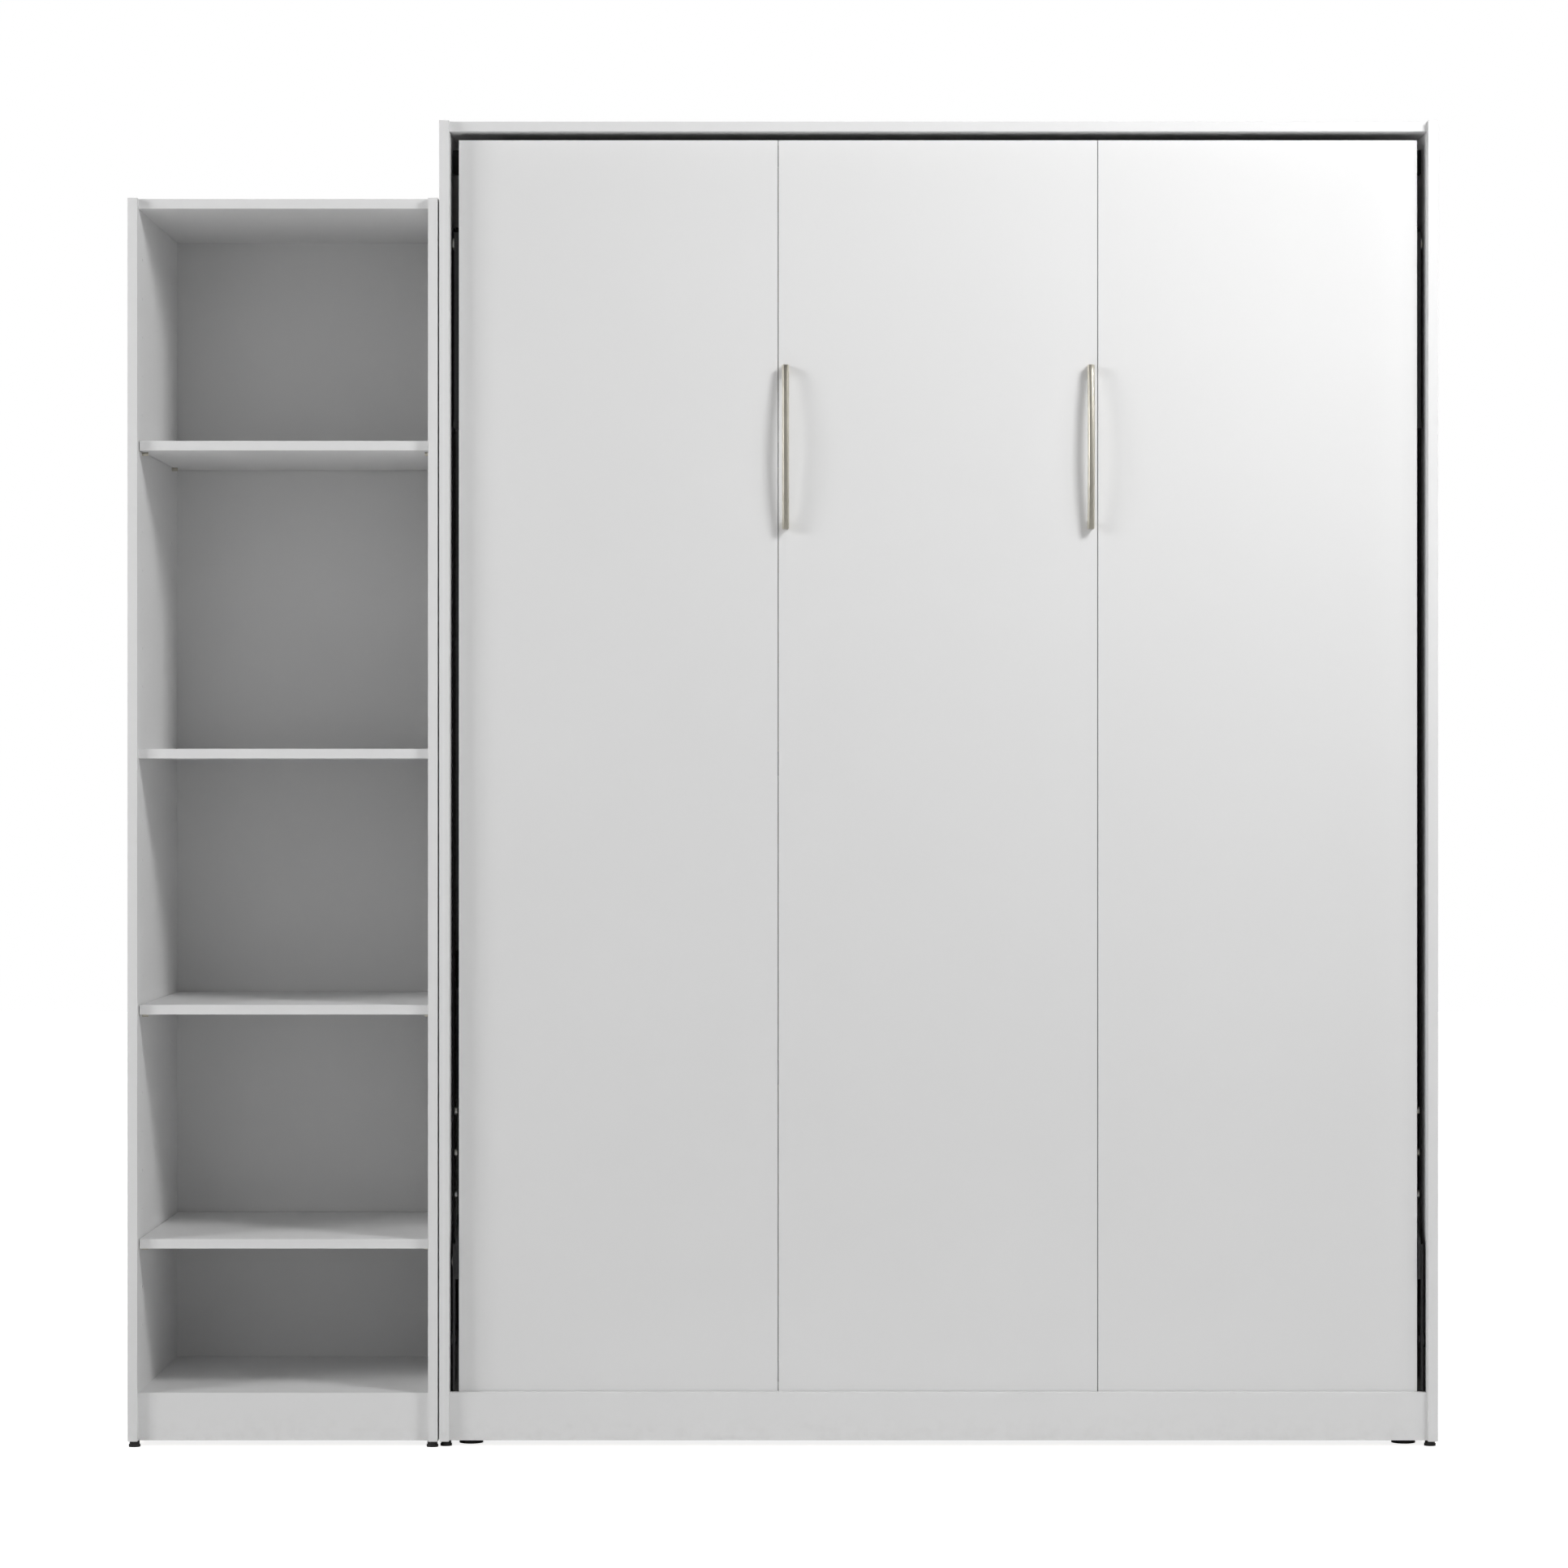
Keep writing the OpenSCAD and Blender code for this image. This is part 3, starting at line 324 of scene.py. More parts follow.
def satin_nickel():
    """Warm nickel brushed along the bar."""
    s = Shader("satin_nickel")
    brush = s.noise(3.0, 3.0, 0.6, s.stretch((1500.0, 1500.0, 9.0)))
    streak = s.noise(2.0, 2.0, 0.5, s.stretch((420.0, 420.0, 3.0)))
    cloud = s.noise(26.0, 3.0)
    colour = s.mix(s.spread(streak, 0.3, 0.7), (0.57, 0.54, 0.46), (0.70, 0.67, 0.59))
    colour = s.mix(s.spread(cloud, 0.4, 0.8, 0.0, 0.3), colour, (0.64, 0.60, 0.50))
    rough = s.spread(brush, 0.25, 0.75, 0.28, 0.36)
    s.set(Base_Color=colour, Metallic=1.0, Roughness=rough, Normal=s.bump(brush, 0.000015, 0.12))
    return s.material


def birch():
    """Laminated birch slats, their grain running across the bed."""
    s = Shader("birch_veneer")
    along = s.stretch((1.2, 22.0, 22.0))
    ring = s.noise(2.2, 4.0, 0.55, along, 0.6)
    pore = s.noise(30.0, 3.0, 0.7, s.stretch((3.0, 60.0, 60.0)))
    colour = s.mix(s.spread(ring, 0.3, 0.72), (0.70, 0.52, 0.33), (0.82, 0.67, 0.47))
    colour = s.mix(s.spread(pore, 0.55, 0.8, 0.0, 0.45), colour, (0.50, 0.34, 0.19))
    ply = s.wave(170.0, "Y", distortion=0.4)
    edge = s.spread(s.math("ABSOLUTE", s.facing("Z")), 0.8, 0.95)
    colour = s.mix(s.math("MULTIPLY", edge, s.spread(ply, 0.2, 0.8, 0.0, 0.6)), colour, (0.42, 0.27, 0.15))
    s.set(Base_Color=colour, Roughness=s.spread(pore, 0.3, 0.8, 0.42, 0.6),
          Normal=s.bump(pore, 0.00008, 0.5), Coat_Weight=0.15, Coat_Roughness=0.3)
    return s.material


def ticking():
    """Knitted mattress cover: off-white with a woven damask figure."""
    s = Shader("mattress_ticking")
    knit_a = s.wave(620.0, "X", distortion=1.2, detail_scale=3.0)
    knit_b = s.wave(480.0, "Z", distortion=1.2, detail_scale=3.0)
    knit = s.math("MULTIPLY", knit_a, knit_b)
    figure = s.spread(s.wave(9.0, "DIAGONAL", distortion=9.0, detail_scale=2.0), 0.42, 0.58)
    colour = s.mix(figure, (0.80, 0.79, 0.755), (0.74, 0.735, 0.715))
    colour = s.mix(s.spread(knit, 0.0, 0.6, 0.30, 0.0), colour, (0.60, 0.59, 0.56))
    colour = s.mix(s.spread(s.noise(4.0, 4.0), 0.4, 0.8, 0.0, 0.25), colour, (0.76, 0.73, 0.67))
    height = s.math("ADD", knit, s.math("MULTIPLY", figure, 0.6))
    s.set(Base_Color=colour, Roughness=s.spread(knit, 0.0, 1.0, 0.95, 0.8), Sheen_Weight=0.25,
          Sheen_Roughness=0.5, Normal=s.bump(height, 0.0005, 0.55))
    return s.material


def border_ticking():
    """Grey knit of the mattress's border, with fine ribs."""
    s = Shader("mattress_border")
    rib = s.wave(130.0, "Y", distortion=0.5)
    knit = s.noise(1500.0, 2.0, 0.6)
    colour = s.mix(s.spread(rib, 0.2, 0.8), (0.50, 0.505, 0.52), (0.62, 0.625, 0.64))
    colour = s.mix(s.spread(knit, 0.4, 0.7, 0.0, 0.5), colour, (0.70, 0.70, 0.71))
    height = s.math("ADD", rib, s.math("MULTIPLY", knit, 0.5))
    s.set(Base_Color=colour, Roughness=s.spread(knit, 0.3, 0.7, 0.8, 0.95), Sheen_Weight=0.2,
          Normal=s.bump(height, 0.0006, 0.6))
    return s.material


def webbing(name, dark, light, axis):
    """Woven strap whose yarns run along axis."""
    s = Shader(name)
    twill = s.wave(190.0, "DIAGONAL", distortion=0.2)
    yarn = s.wave(420.0, axis, distortion=0.3)
    height = s.math("ADD", twill, s.math("MULTIPLY", yarn, 0.5))
    colour = s.mix(s.spread(height, 0.2, 1.3), dark, light)
    colour = s.mix(s.spread(s.noise(70.0, 4.0), 0.5, 0.8, 0.0, 0.3), colour, light)
    s.set(Base_Color=colour, Roughness=s.spread(height, 0.0, 1.5, 0.85, 0.65), Sheen_Weight=0.15,
          Normal=s.bump(height, 0.0004, 0.7))
    return s.material


def paint(material, *names):
    """Puts the material in every slot of those CAD nodes."""
    for name in names:
        mesh = NODES[name].data
        mesh.materials.clear()
        mesh.materials.append(material)


def soften(names, width, angle=50):
    """Breaks the sharp edges of those CAD nodes with a small round, as modifiers."""
    for name in names:
        obj = NODES[name]
        weld = obj.modifiers.new("join_corners", "WELD")
        weld.merge_threshold = 0.00002
        bevel = obj.modifiers.new("eased_edges", "BEVEL")
        bevel.width = width
        bevel.segments = 2
        bevel.limit_method = "ANGLE"
        bevel.angle_limit = math.radians(angle)
        bevel.use_clamp_overlap = True
        bevel.harden_normals = True


RAW_BACK = (("Y", 1),)
RAW_BACK_AND_FOOT = (("Y", 1), ("Z", -1))
RAW_SIDES = {
    "bed_side_left": RAW_BACK_AND_FOOT, "bed_side_right": RAW_BACK_AND_FOOT, "bed_top": RAW_BACK,
    "bed_kick_board": (("Z", -1),), "headboard": (), "rear_rail_upper": (), "rear_rail_lower": (),
    "unit_side_lower_left": RAW_BACK_AND_FOOT, "unit_side_lower_right": RAW_BACK_AND_FOOT,
    "unit_side_upper_left": RAW_BACK, "unit_side_upper_right": RAW_BACK, "unit_top": RAW_BACK,
    "unit_fixed_shelf": RAW_BACK, "unit_bottom_shelf": RAW_BACK, "unit_shelf_upper": RAW_BACK,
    "unit_shelf_middle": RAW_BACK, "unit_shelf_lower": RAW_BACK, "unit_kick_board": (("Z", -1),),
    "face_panel_left": (), "face_panel_middle": (), "face_panel_right": (),
}
STEEL_NODES = [
    "pivot_plates", "strut_brackets", "frame_rail_left", "frame_rail_right", "frame_rail_head",
    "frame_rail_foot", "cross_member_low", "cross_member_mid", "cross_member_high", "centre_rail",
    "pivot_arms", "mattress_stops", "leg_left", "leg_right", "link_left", "link_right",
    "strut_cylinder_left", "strut_cylinder_right",
]
PLASTIC_NODES = ["panel_glides", "levelling_feet", "slat_holders"]
ZINC_NODES = [
    "plate_screws", "pivot_bolts", "cam_fittings", "connector_bolts", "face_screws",
    "handle_screws", "frame_bolts",
]
HANDLE_NODES = ["handle_left", "handle_right"]


def dress_cad_nodes():
    for name, raw in RAW_SIDES.items():
        paint(board(name, raw), name)
    paint(back_board(), "unit_back_upper", "unit_back_lower")
    paint(black_steel(), *STEEL_NODES)
    paint(black_plastic(), *PLASTIC_NODES)
    paint(stop_rubber(), "closing_stops")
    paint(zinc_steel(), *ZINC_NODES)
    paint(rod_chrome(), "strut_rod_left", "strut_rod_right")
    nickel = satin_nickel()
    paint(nickel, "shelf_pins", *HANDLE_NODES)
    paint(birch(), "slats")
    soften(RAW_SIDES, 0.0004)
    soften(HANDLE_NODES, 0.0003, angle=20)
    soften(["slats"], 0.0012)
    soften(["pivot_plates", "pivot_arms", "leg_left", "leg_right", "link_left", "link_right"], 0.0005)


# ---------------------------------------------------------------- mattress

RIM = 0.034            # radius of the mattress's long edges
SIM_INSET = 0.011      # room left for the swelling of the cover
SIM_CAP = 0.010        # most that a point of the cover may move
SIM_PRESSURE = 4.0
SIM_FRAMES = 20
VOXEL = 0.013          # side of the cover's squares
QUILT_PITCH = 0.165    # side of a quilted diamond
QUILT_DEPTH = 0.0075
QUILT_WIDTH = 0.014
PANEL_FROM = 0.55      # the quilting starts where the normal's Y is over this
PANEL_RAMP = 0.35      # and has its full depth this much further
CHANNEL_DEPTH = 0.004  # of the two sewn channels round the border
CHANNEL_WIDTH = 0.009
STRAP_SINK = 0.006     # how far the straps press into the cover
STRAPS_APART = 0.1     # a step in height over this starts the next strap
PRESS_REACH = 0.045    # from a strap's middle to where the cover is flat again
PRESS_RAMP = 0.03      # width over which the cover rises beside a strap
TAPE_R = 0.0042        # radius of the piping on the cover's edges
TAPE_INSET = 0.006     # from the mattress's box to the piping's middle
TAPE_CORNER = 0.045    # radius of the piping's corners


def strap_heights():
    """Middle height of each mattress strap, from the strap node's own points."""
    heights = sorted(round(v.co.z, 4) for v in NODES["mattress_straps"].data.vertices)
    groups = [[heights[0]]]
    for z in heights[1:]:
        if z - groups[-1][-1] > STRAPS_APART:
            groups.append([])
        groups[-1].append(z)
    return [(g[0] + g[-1]) / 2 for g in groups]


def rounded_bar(bm, lo, hi, radius, segments=3):
    """A box with round edges, added to bm."""
    made = bmesh.ops.create_cube(bm, size=1.0)["verts"]
    for v in made:
        v.co = [a + (b - a) * (c + 0.5) for a, b, c in zip(lo, hi, v.co)]
    edges = {e for v in made for e in v.link_edges}
    bmesh.ops.bevel(bm, geom=list(edges), offset=radius, segments=segments, profile=0.5, affect="EDGES")


def remeshed_box(name, lo, hi, radius, voxel):
    """A box with round edges, in a mesh of even squares."""
    obj = mesh_from(name, lambda bm: rounded_bar(bm, lo, hi, radius, segments=5))
    remesh = obj.modifiers.new("remesh", "REMESH")
    remesh.mode = "VOXEL"
    remesh.voxel_size = voxel
    bake_modifiers(obj)
    return obj


def swell(obj, held):
    """Blows the cover up a little by cloth simulation; held(point) is how firmly a point is kept."""
    group = obj.vertex_groups.new(name="held")
    rest = [v.co.copy() for v in obj.data.vertices]
    for i, point in enumerate(rest):
        group.add([i], held(point), "REPLACE")
    cloth = obj.modifiers.new("cloth", "CLOTH")
    settings = cloth.settings
    settings.quality = 4
    settings.mass = 0.4
    settings.tension_stiffness = 12
    settings.compression_stiffness = 12
    settings.shear_stiffness = 6
    settings.bending_stiffness = 2
    settings.use_pressure = True
    settings.uniform_pressure_force = SIM_PRESSURE
    settings.vertex_group_mass = "held"
    settings.effector_weights.gravity = 0.0
    cloth.collision_settings.use_collision = False
    scene = bpy.context.scene
    for step in range(1, SIM_FRAMES + 1):
        scene.frame_set(step)
    bake_modifiers(obj)
    for v, start in zip(obj.data.vertices, rest):
        move = v.co - start
        if move.length > SIM_CAP:
            v.co = start + move.normalized() * SIM_CAP
    scene.frame_set(1)


def line_distance(value, pitch):
    """Distance from value to the nearest multiple of pitch."""
    return abs((value / pitch + 0.5) % 1.0 - 0.5) * pitch


def quilt_mattress(obj, lo, hi):
    """Presses the quilting lines, the border's channels and the straps' grooves into the cover."""
    centre = (lo + hi) / 2
    straps = strap_heights()
    normals = [v.normal.copy() for v in obj.data.vertices]
    for v, n in zip(obj.data.vertices, normals):
        x, y, z = v.co.x - centre.x, v.co.y, v.co.z - centre.z
        panel = max(0.0, min(1.0, (abs(n.y) - PANEL_FROM) / PANEL_RAMP))
        near = min(line_distance((x + z) / math.sqrt(2), QUILT_PITCH),
                   line_distance((x - z) / math.sqrt(2), QUILT_PITCH))
        groove = QUILT_DEPTH * math.exp(-((near / QUILT_WIDTH) ** 2)) * panel
        channel = line_distance(y - lo.y, (hi.y - lo.y) / 3)
        groove += CHANNEL_DEPTH * math.exp(-((channel / CHANNEL_WIDTH) ** 2)) * (1.0 - panel)
        for strap in straps:
            off = abs(v.co.z - strap)
            if y > centre.y or panel < 0.5:
                press = max(0.0, min(1.0, (PRESS_REACH - off) / PRESS_RAMP))
                groove = max(groove, STRAP_SINK * press * press * (3 - 2 * press))
        v.co -= n * groove


def loop_points(width, length, radius, steps=10):
    """Points of a rounded rectangle about the origin, as (x, z)."""
    points = []
    for k, (sx, sz) in enumerate(((1, 1), (-1, 1), (-1, -1), (1, -1))):
        for i in range(steps + 1):
            a = math.pi / 2 * (k + i / steps)
            points.append((sx * (width / 2 - radius) + radius * math.cos(a),
                           sz * (length / 2 - radius) + radius * math.sin(a)))
    return points


def tube(bm, points, radius, sides=10):
    """Sweeps a round section along the points of a closed loop that lies flat in XZ."""
    count = len(points)
    rings = []
    for i, p in enumerate(points):
        along = (Vector(points[(i + 1) % count]) - Vector(points[i - 1])).normalized()
        side = along.cross((0, 1, 0)).normalized()
        up = side.cross(along)
        rings.append([bm.verts.new(Vector(p) + radius * (side * math.cos(a) + up * math.sin(a)))
                      for a in (2 * math.pi * k / sides for k in range(sides))])
    for i in range(count):
        a, b = rings[i], rings[(i + 1) % count]
        for k in range(sides):
            bm.faces.new((a[k], a[(k + 1) % sides], b[(k + 1) % sides], b[k]))


def mattress():
    """The padded cover, and the piping along its edges."""
    lo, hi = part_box("mattress")
    inset = Vector((SIM_INSET,) * 3)
    voxel = VOXEL
    cover = remeshed_box("mattress_cover", lo + inset, hi - inset, RIM, voxel)
    rim = RIM * 0.9

    def held(p):
        """Firm along the tape edges, loose on the panels and the border."""
        edge_y = min(abs(p.y - lo.y - inset.y), abs(hi.y - inset.y - p.y))
        edge_x = min(p.x - lo.x - inset.x, hi.x - inset.x - p.x)
        edge_z = min(p.z - lo.z - inset.z, hi.z - inset.z - p.z)
        return 1.0 if rim * 0.2 < edge_y < rim and min(edge_x, edge_z) < rim else 0.0
    swell(cover, held)
    subdivide = cover.modifiers.new("subdivide", "SUBSURF")
    subdivide.levels = subdivide.render_levels = 1
    bake_modifiers(cover)
    quilt_mattress(cover, lo, hi)
    shade_smooth(cover)
    cover.data.materials.append(ticking())
    cover.data.materials.append(border_ticking())
    for polygon in cover.data.polygons:
        depth = min(polygon.center.y - lo.y, hi.y - polygon.center.y)
        polygon.material_index = 1 if depth > RIM and abs(polygon.normal.y) < 0.6 else 0
    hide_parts("mattress")
    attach(cover, "bed")

    tape = webbing("edge_tape", (0.62, 0.62, 0.61), (0.76, 0.76, 0.75), "Y")
    width, length = hi.x - lo.x - 2 * TAPE_INSET, hi.z - lo.z - 2 * TAPE_INSET
    middle = (lo + hi) / 2
    for name, y in (("tape_edge_top", hi.y - RIM), ("tape_edge_bottom", lo.y + RIM)):
        outline = [(middle.x + x, y, middle.z + z) for x, z in loop_points(width, length, TAPE_CORNER)]
        piping = mesh_from(name, lambda bm: tube(bm, outline, TAPE_R))
        shade_smooth(piping)
        piping.data.materials.append(tape)
        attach(piping, "bed")


# ---------------------------------------------------------------- straps

STRAP_T = 0.0016
STRAP_BEND = 0.030     # radius of a strap's bend round the mattress's back edge
SIDE_GAP = 0.0018      # from the mattress's side to a strap's middle line
BACK_GAP = 0.0035      # from the strap node's back to a strap's middle line
TAB_TURN = 0.004       # size of a strap's turn from its tab up the mattress's side
BACK_SINK = 0.0035     # how far a strap dips across the back
BACK_RAMP = 0.25       # from the side to where it has dipped that far
SIDE_STEPS = 12
BACK_STEPS = 30
BUCKLE_BAR = 0.006     # width of the buckle's frame
BUCKLE_DEPTH = 0.005
BUCKLE_LENGTH = 0.052
BUCKLE_ROUND = 0.0016
MIDDLE_HALF = 0.004    # half the width of the buckle's middle bar
MIDDLE_DEPTH = 0.004
BUCKLE_SINK = 0.0055   # from the strap node's back to the buckle's underside
BUCKLE_SHARE = 0.62    # the buckle's place across the mattress, as a share of its width
FOLD_OFF = 0.045       # from the buckle's middle to each stitched fold
TACK_ROW = 0.006       # from a fold's middle to each row of stitches
STITCH_SINK = 0.0062   # from the strap node's back to the strap's middle under the stitches
STITCHES = 9           # in a row
STITCH_EDGE = 0.004    # from the strap's edge to the middle of its first stitch
STITCH_LO = Vector((-0.0006, -0.0004, -0.0014))
STITCH_HI = Vector((0.0006, 0.0005, 0.0014))
STITCH_ROUND = 0.0003


def ribbon(bm, path, width, thickness):
    """A flat strap of that width along Z, swept along path in the XY plane."""
    rings = []
    for i, p in enumerate(path):
        before, after = path[max(i - 1, 0)], path[min(i + 1, len(path) - 1)]
        along = (Vector(after) - Vector(before)).normalized()
        out = Vector((along.y, -along.x, 0.0)) * thickness / 2
        across = Vector((0.0, 0.0, width / 2))
        ring = []
        for side, edge in ((1, -1), (1, 1), (-1, 1), (-1, -1)):
            ring.append(bm.verts.new(Vector(p) + out * side + across * edge))
        rings.append(ring)
    for a, b in zip(rings, rings[1:]):
        for k in range(4):
            bm.faces.new((a[k], a[(k + 1) % 4], b[(k + 1) % 4], b[k]))
    bm.faces.new(list(reversed(rings[0])))
    bm.faces.new(rings[-1])


def strap_path(z):
    """Middle line of a strap: from one frame rail, round the mattress, to the other rail."""
    lo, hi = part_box("mattress")
    node_lo, node_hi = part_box("mattress_straps")
    side = hi.x + SIDE_GAP
    back = node_hi.y - BACK_GAP
    tab = node_lo.y + STRAP_T / 2
    centre = (lo.x + hi.x) / 2
    bend = STRAP_BEND
    half = [(node_hi.x, tab), (side + TAB_TURN, tab)]
    half += [(side + TAB_TURN / 2 * (1 - math.cos(a)), tab + TAB_TURN * math.sin(a))
             for a in (math.pi / 2 * k / 4 for k in range(1, 4))]
    start = tab + 2 * TAB_TURN
    for k in range(SIDE_STEPS + 1):
        half.append((side, start + (back - bend - start) * k / SIDE_STEPS))
    for k in range(1, 9):
        a = math.pi / 2 * k / 8
        half.append((side - bend + bend * math.cos(a), back - bend + bend * math.sin(a)))
    for k in range(1, BACK_STEPS + 1):
        x = side - bend - (side - bend - centre) * k / BACK_STEPS
        sink = BACK_SINK * math.sin(math.pi * min(1.0, (side - x) / BACK_RAMP) / 2)
        half.append((x, back - sink))
    right = [(x, y, z) for x, y in half]
    left = [(2 * centre - x, y, z) for x, y, _ in reversed(right[:-1])]
    return right + left


def buckle(bm, x, y, z, width):
    """Two-slot buckle: a frame with a middle bar."""
    outer = width / 2 + BUCKLE_BAR
    half, top = BUCKLE_BAR / 2, y + BUCKLE_DEPTH
    for s in (-1, 1):
        zs, xs = z + s * outer, x + s * (BUCKLE_LENGTH / 2 - half)
        lo, hi = (x - BUCKLE_LENGTH / 2, y, zs - half), (x + BUCKLE_LENGTH / 2, top, zs + half)
        rounded_bar(bm, lo, hi, BUCKLE_ROUND)
        rounded_bar(bm, (xs - half, y, z - outer), (xs + half, top, z + outer), BUCKLE_ROUND)
    lo, hi = (x - MIDDLE_HALF, y, z - outer), (x + MIDDLE_HALF, y + MIDDLE_DEPTH, z + outer)
    rounded_bar(bm, lo, hi, BUCKLE_ROUND)


def stitch_rows(bm, x, y, z, width):
    """Two rows of stitches that hold the strap's fold beside the buckle."""
    for row in (-TACK_ROW, TACK_ROW):
        for k in range(STITCHES):
            at = z + (k / (STITCHES - 1) - 0.5) * (width - 2 * STITCH_EDGE)
            centre = Vector((x + row, y, at))
            rounded_bar(bm, centre + STITCH_LO, centre + STITCH_HI, STITCH_ROUND)


def straps():
    """Two straps round the mattress, each with a buckle and two stitched folds on the back."""
    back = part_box("mattress_straps")[1].y
    heights = strap_heights()
    lowest = min(v.co.z for v in NODES["mattress_straps"].data.vertices)
    width = 2 * (heights[0] - lowest)
    belt = webbing("strap_webbing", (0.012, 0.012, 0.013), (0.05, 0.05, 0.052), "X")
    thread = webbing("strap_thread", (0.20, 0.20, 0.20), (0.34, 0.34, 0.34), "Z")
    plastic = black_plastic()
    lo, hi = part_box("mattress")
    x = lo.x + (hi.x - lo.x) * BUCKLE_SHARE
    for i, z in enumerate(heights):
        path = strap_path(z)
        strap = mesh_from(f"mattress_strap_{i + 1}", lambda bm: ribbon(bm, path, width, STRAP_T))
        shade_smooth(strap, 40)
        strap.data.materials.append(belt)
        if i == 0:
            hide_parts("mattress_straps")
        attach(strap, "bed")
        clip = mesh_from(f"strap_buckle_{i + 1}", lambda bm: buckle(bm, x, back - BUCKLE_SINK, z, width))
        shade_smooth(clip, 40)
        clip.data.materials.append(plastic)
        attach(clip, "bed")
        level = back - STITCH_SINK + STRAP_T / 2
        tacks = mesh_from(f"strap_stitching_{i + 1}", lambda bm: [
            stitch_rows(bm, x + s * FOLD_OFF, level, z, width) for s in (-1, 1)])
        tacks.data.materials.append(thread)
        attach(tacks, "bed")


# ---------------------------------------------------------------- stage, lights and camera

FLOOR_HALF = 14.0      # half the side of the floor
FLOOR_DROP = 0.001     # how far the plane that throws light back lies under the one that shows
GLOW_NEAR = 2.0        # the floor's glow is NEAR_SHARE of its full strength up to here
GLOW_FAR = 6.0         # and full from here on, so no horizon shows
NEAR_SHARE = 0.85
WORLD_GLOW = 0.02


def floor_plane(name, z, glow):
    """A pale square floor at height z; glow is the strength of its own light far out."""
    def build(bm):
        corners = ((-1, -1), (1, -1), (1, 1), (-1, 1))
        bm.faces.new([bm.verts.new((SET_CENTRE.x + x * FLOOR_HALF, y * FLOOR_HALF, z)) for x, y in corners])
    obj = mesh_from(name, build)
    s = Shader(name)
    tone = s.mix(s.spread(s.noise(0.6, 2.0), 0.3, 0.7), (0.88, 0.88, 0.88), (0.92, 0.92, 0.92))
    away = s.node("VectorMath", {0: s.coords}, out="Value", operation="LENGTH")
    level = s.spread(away, GLOW_NEAR, GLOW_FAR, NEAR_SHARE * glow, glow)
    s.set(Base_Color=tone, Roughness=0.9, Emission_Color=WHITE, Emission_Strength=level)
    obj.data.materials.append(s.material)
    return obj


def floor():
    """One plane shows, near white. One just under it throws the light back, as a pale floor does."""
    shown = floor_plane("studio_floor", CAD_LO.z, 1.0)
    shown.visible_diffuse = shown.visible_glossy = shown.visible_shadow = False
    thrower = floor_plane("studio_floor_bounce", CAD_LO.z - FLOOR_DROP, 0.0)
    thrower.visible_camera = False


def area_light(name, place, target, size, power):
    """A rectangular lamp at place that faces target."""
    data = bpy.data.lights.new(name, "AREA")
    data.shape = "RECTANGLE"
    data.size, data.size_y = size
    data.energy = power
    lamp = link_object(name, data)
    lamp.location = place
    lamp.rotation_euler = (Vector(target) - Vector(place)).to_track_quat("-Z", "Y").to_euler()


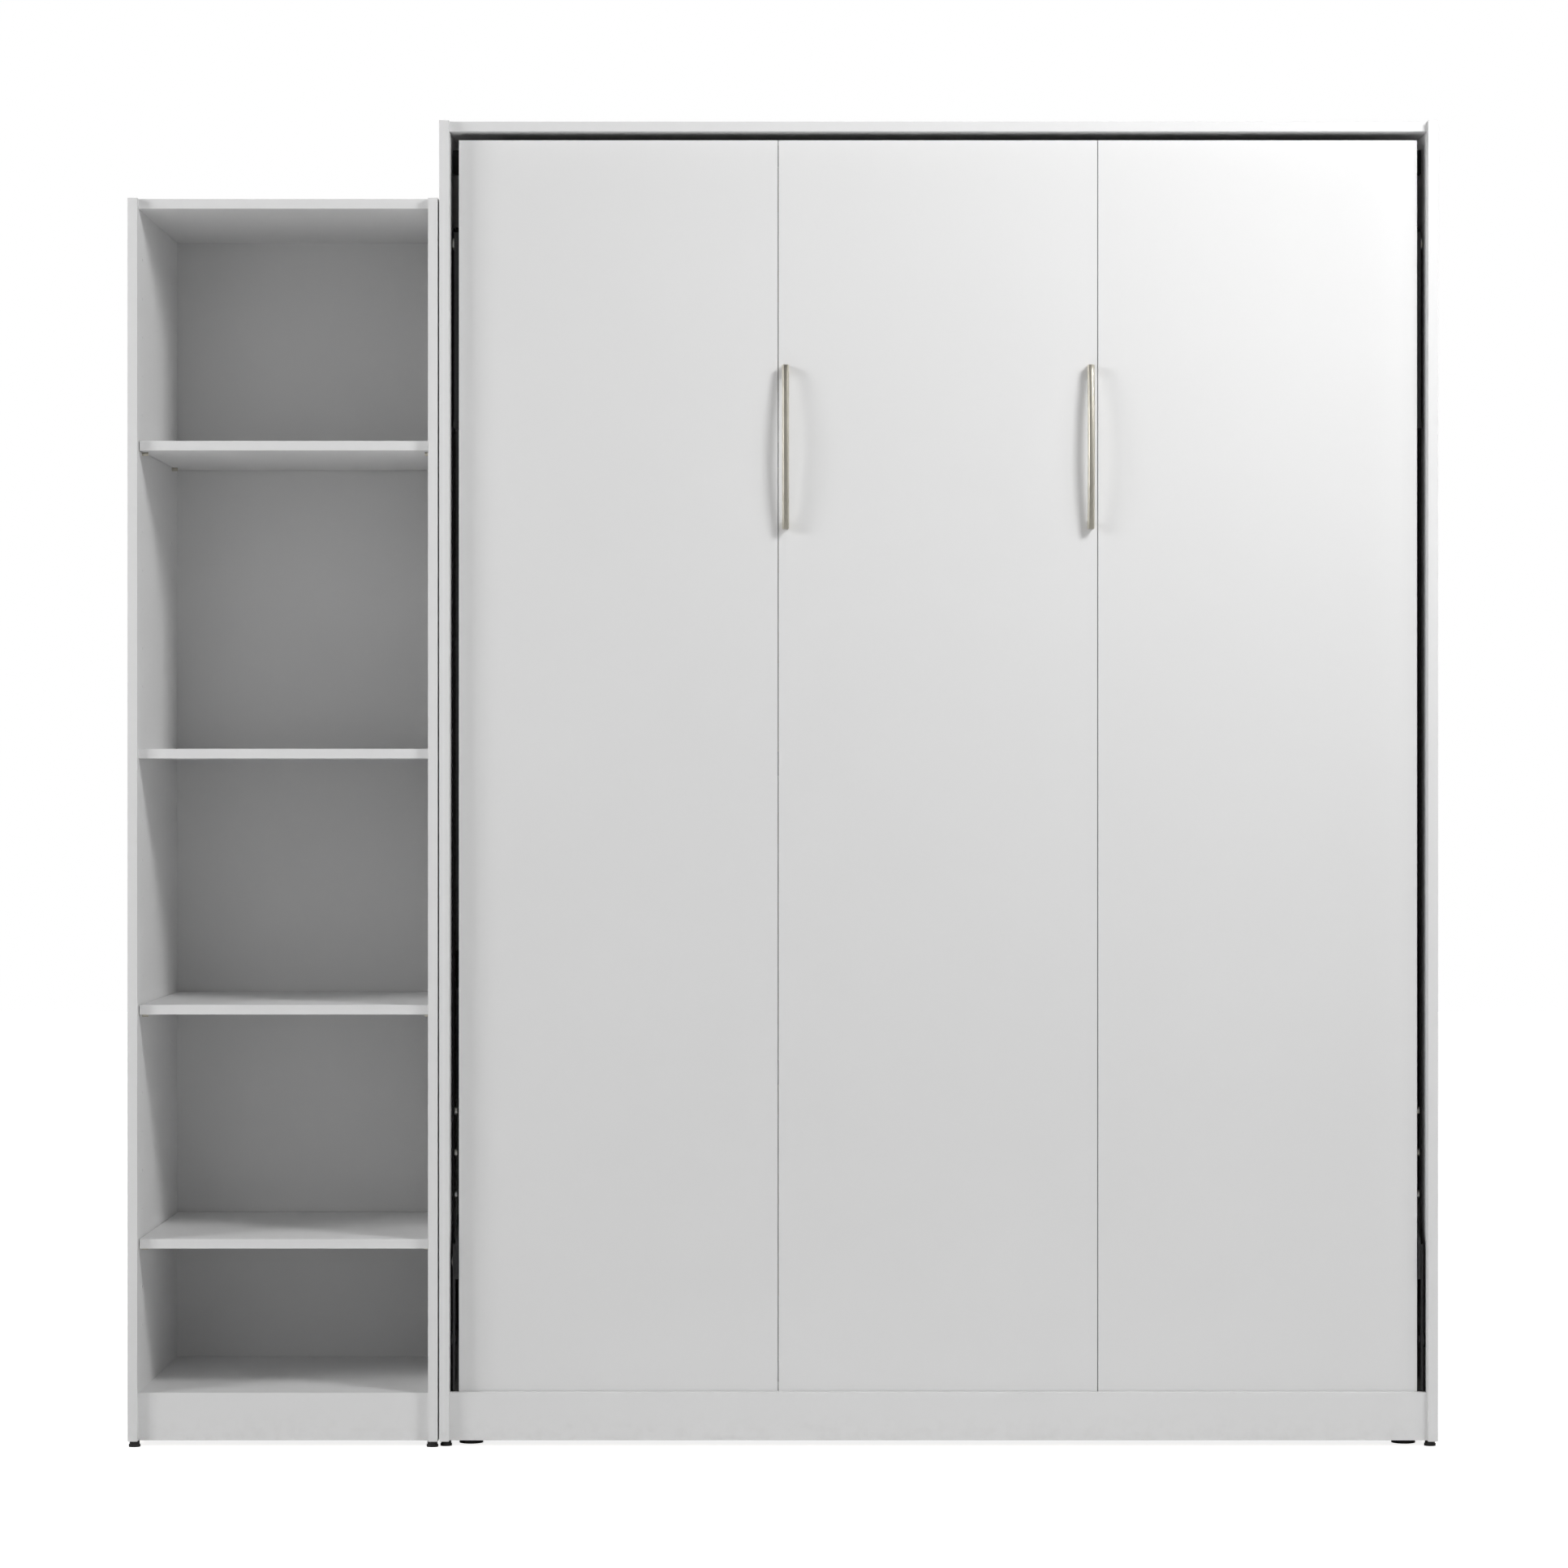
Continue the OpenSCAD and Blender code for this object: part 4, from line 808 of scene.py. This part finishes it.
# name, place, what it points at, (width, height), watts
LIGHTS = [
    ("key_right", (1.7, -2.05, 2.95), (0.1, 0.0, 1.1), (0.7, 0.7), 38.0),
    ("side_right", (3.57, -2.91, 3.21), (0.1, 0.0, 1.1), (1.8, 1.8), 29.0),
    ("overhead", (0.6, -2.2, 4.0), (0.1, 0.0, 1.1), (1.2, 1.2), 4.0),
    ("front", (0.1, -5.5, 2.0), (0.1, 0.0, 1.1), (5.2, 3.8), 17.0),
    ("front_right", (2.8, -5.2, 2.0), (0.1, 0.0, 1.1), (2.0, 3.8), 7.0),
    ("front_left", (-2.6, -5.2, 2.0), (0.1, 0.0, 1.1), (2.0, 3.8), 14.0),
    ("side_left", (-4.2, -2.6, 2.6), (0.1, 0.0, 1.1), (1.8, 1.8), 84.0),
    ("strip_right", (3.4, -0.7, 2.0), (0.0, -0.3, 1.66), (0.5, 1.8), 5.0),
    ("strip_left", (-3.4, -0.7, 2.0), (0.0, -0.3, 1.66), (0.5, 1.8), 5.0),
    ("rear_right", (4.2, 3.6, 3.2), (0.1, 0.0, 1.1), (2.4, 2.4), 52.0),
    ("rear_left", (-4.4, 3.4, 2.4), (0.1, 0.0, 1.1), (2.4, 2.4), 42.0),
]


def lights():
    for light in LIGHTS:
        area_light(*light)


def world():
    """A white backdrop to the camera, and a faint even glow to everything else."""
    made = bpy.data.worlds.new("studio")
    bpy.context.scene.world = made
    made.use_nodes = True
    tree = made.node_tree
    tree.nodes.clear()
    out = tree.nodes.new("ShaderNodeOutputWorld")
    path = tree.nodes.new("ShaderNodeLightPath")
    mix = tree.nodes.new("ShaderNodeMixShader")
    tree.links.new(path.outputs["Is Camera Ray"], mix.inputs["Fac"])
    for socket, strength in ((mix.inputs[1], WORLD_GLOW), (mix.inputs[2], 1.0)):
        background = tree.nodes.new("ShaderNodeBackground")
        background.inputs["Color"].default_value = (*WHITE, 1.0)
        background.inputs["Strength"].default_value = strength
        tree.links.new(background.outputs[0], socket)
    tree.links.new(mix.outputs[0], out.inputs["Surface"])


CAMERA_DISTANCE = 7.45     # from the cabinet's front
CAMERA_RIGHT = 0.002       # of the middle of the set
VIEW_WIDTH = 2.5985        # width of the view at the cabinet's front
SENSOR = 36.0


def camera():
    data = bpy.data.cameras.new("camera")
    data.sensor_width = SENSOR
    data.lens = SENSOR * CAMERA_DISTANCE / VIEW_WIDTH
    data.clip_start, data.clip_end = 0.1, 100.0
    obj = link_object("camera", data)
    obj.location = (SET_CENTRE.x + CAMERA_RIGHT, CAD_LO.y - CAMERA_DISTANCE, SET_CENTRE.z)
    obj.rotation_euler = (math.pi / 2, 0.0, 0.0)
    bpy.context.scene.camera = obj


def plain_colours():
    """Tones as lit, with no film curve."""
    settings = bpy.context.scene.view_settings
    settings.view_transform = "Standard"
    settings.look = "None"


camera()
plain_colours()
world()
lights()
floor()
dress_cad_nodes()
mattress()
straps()
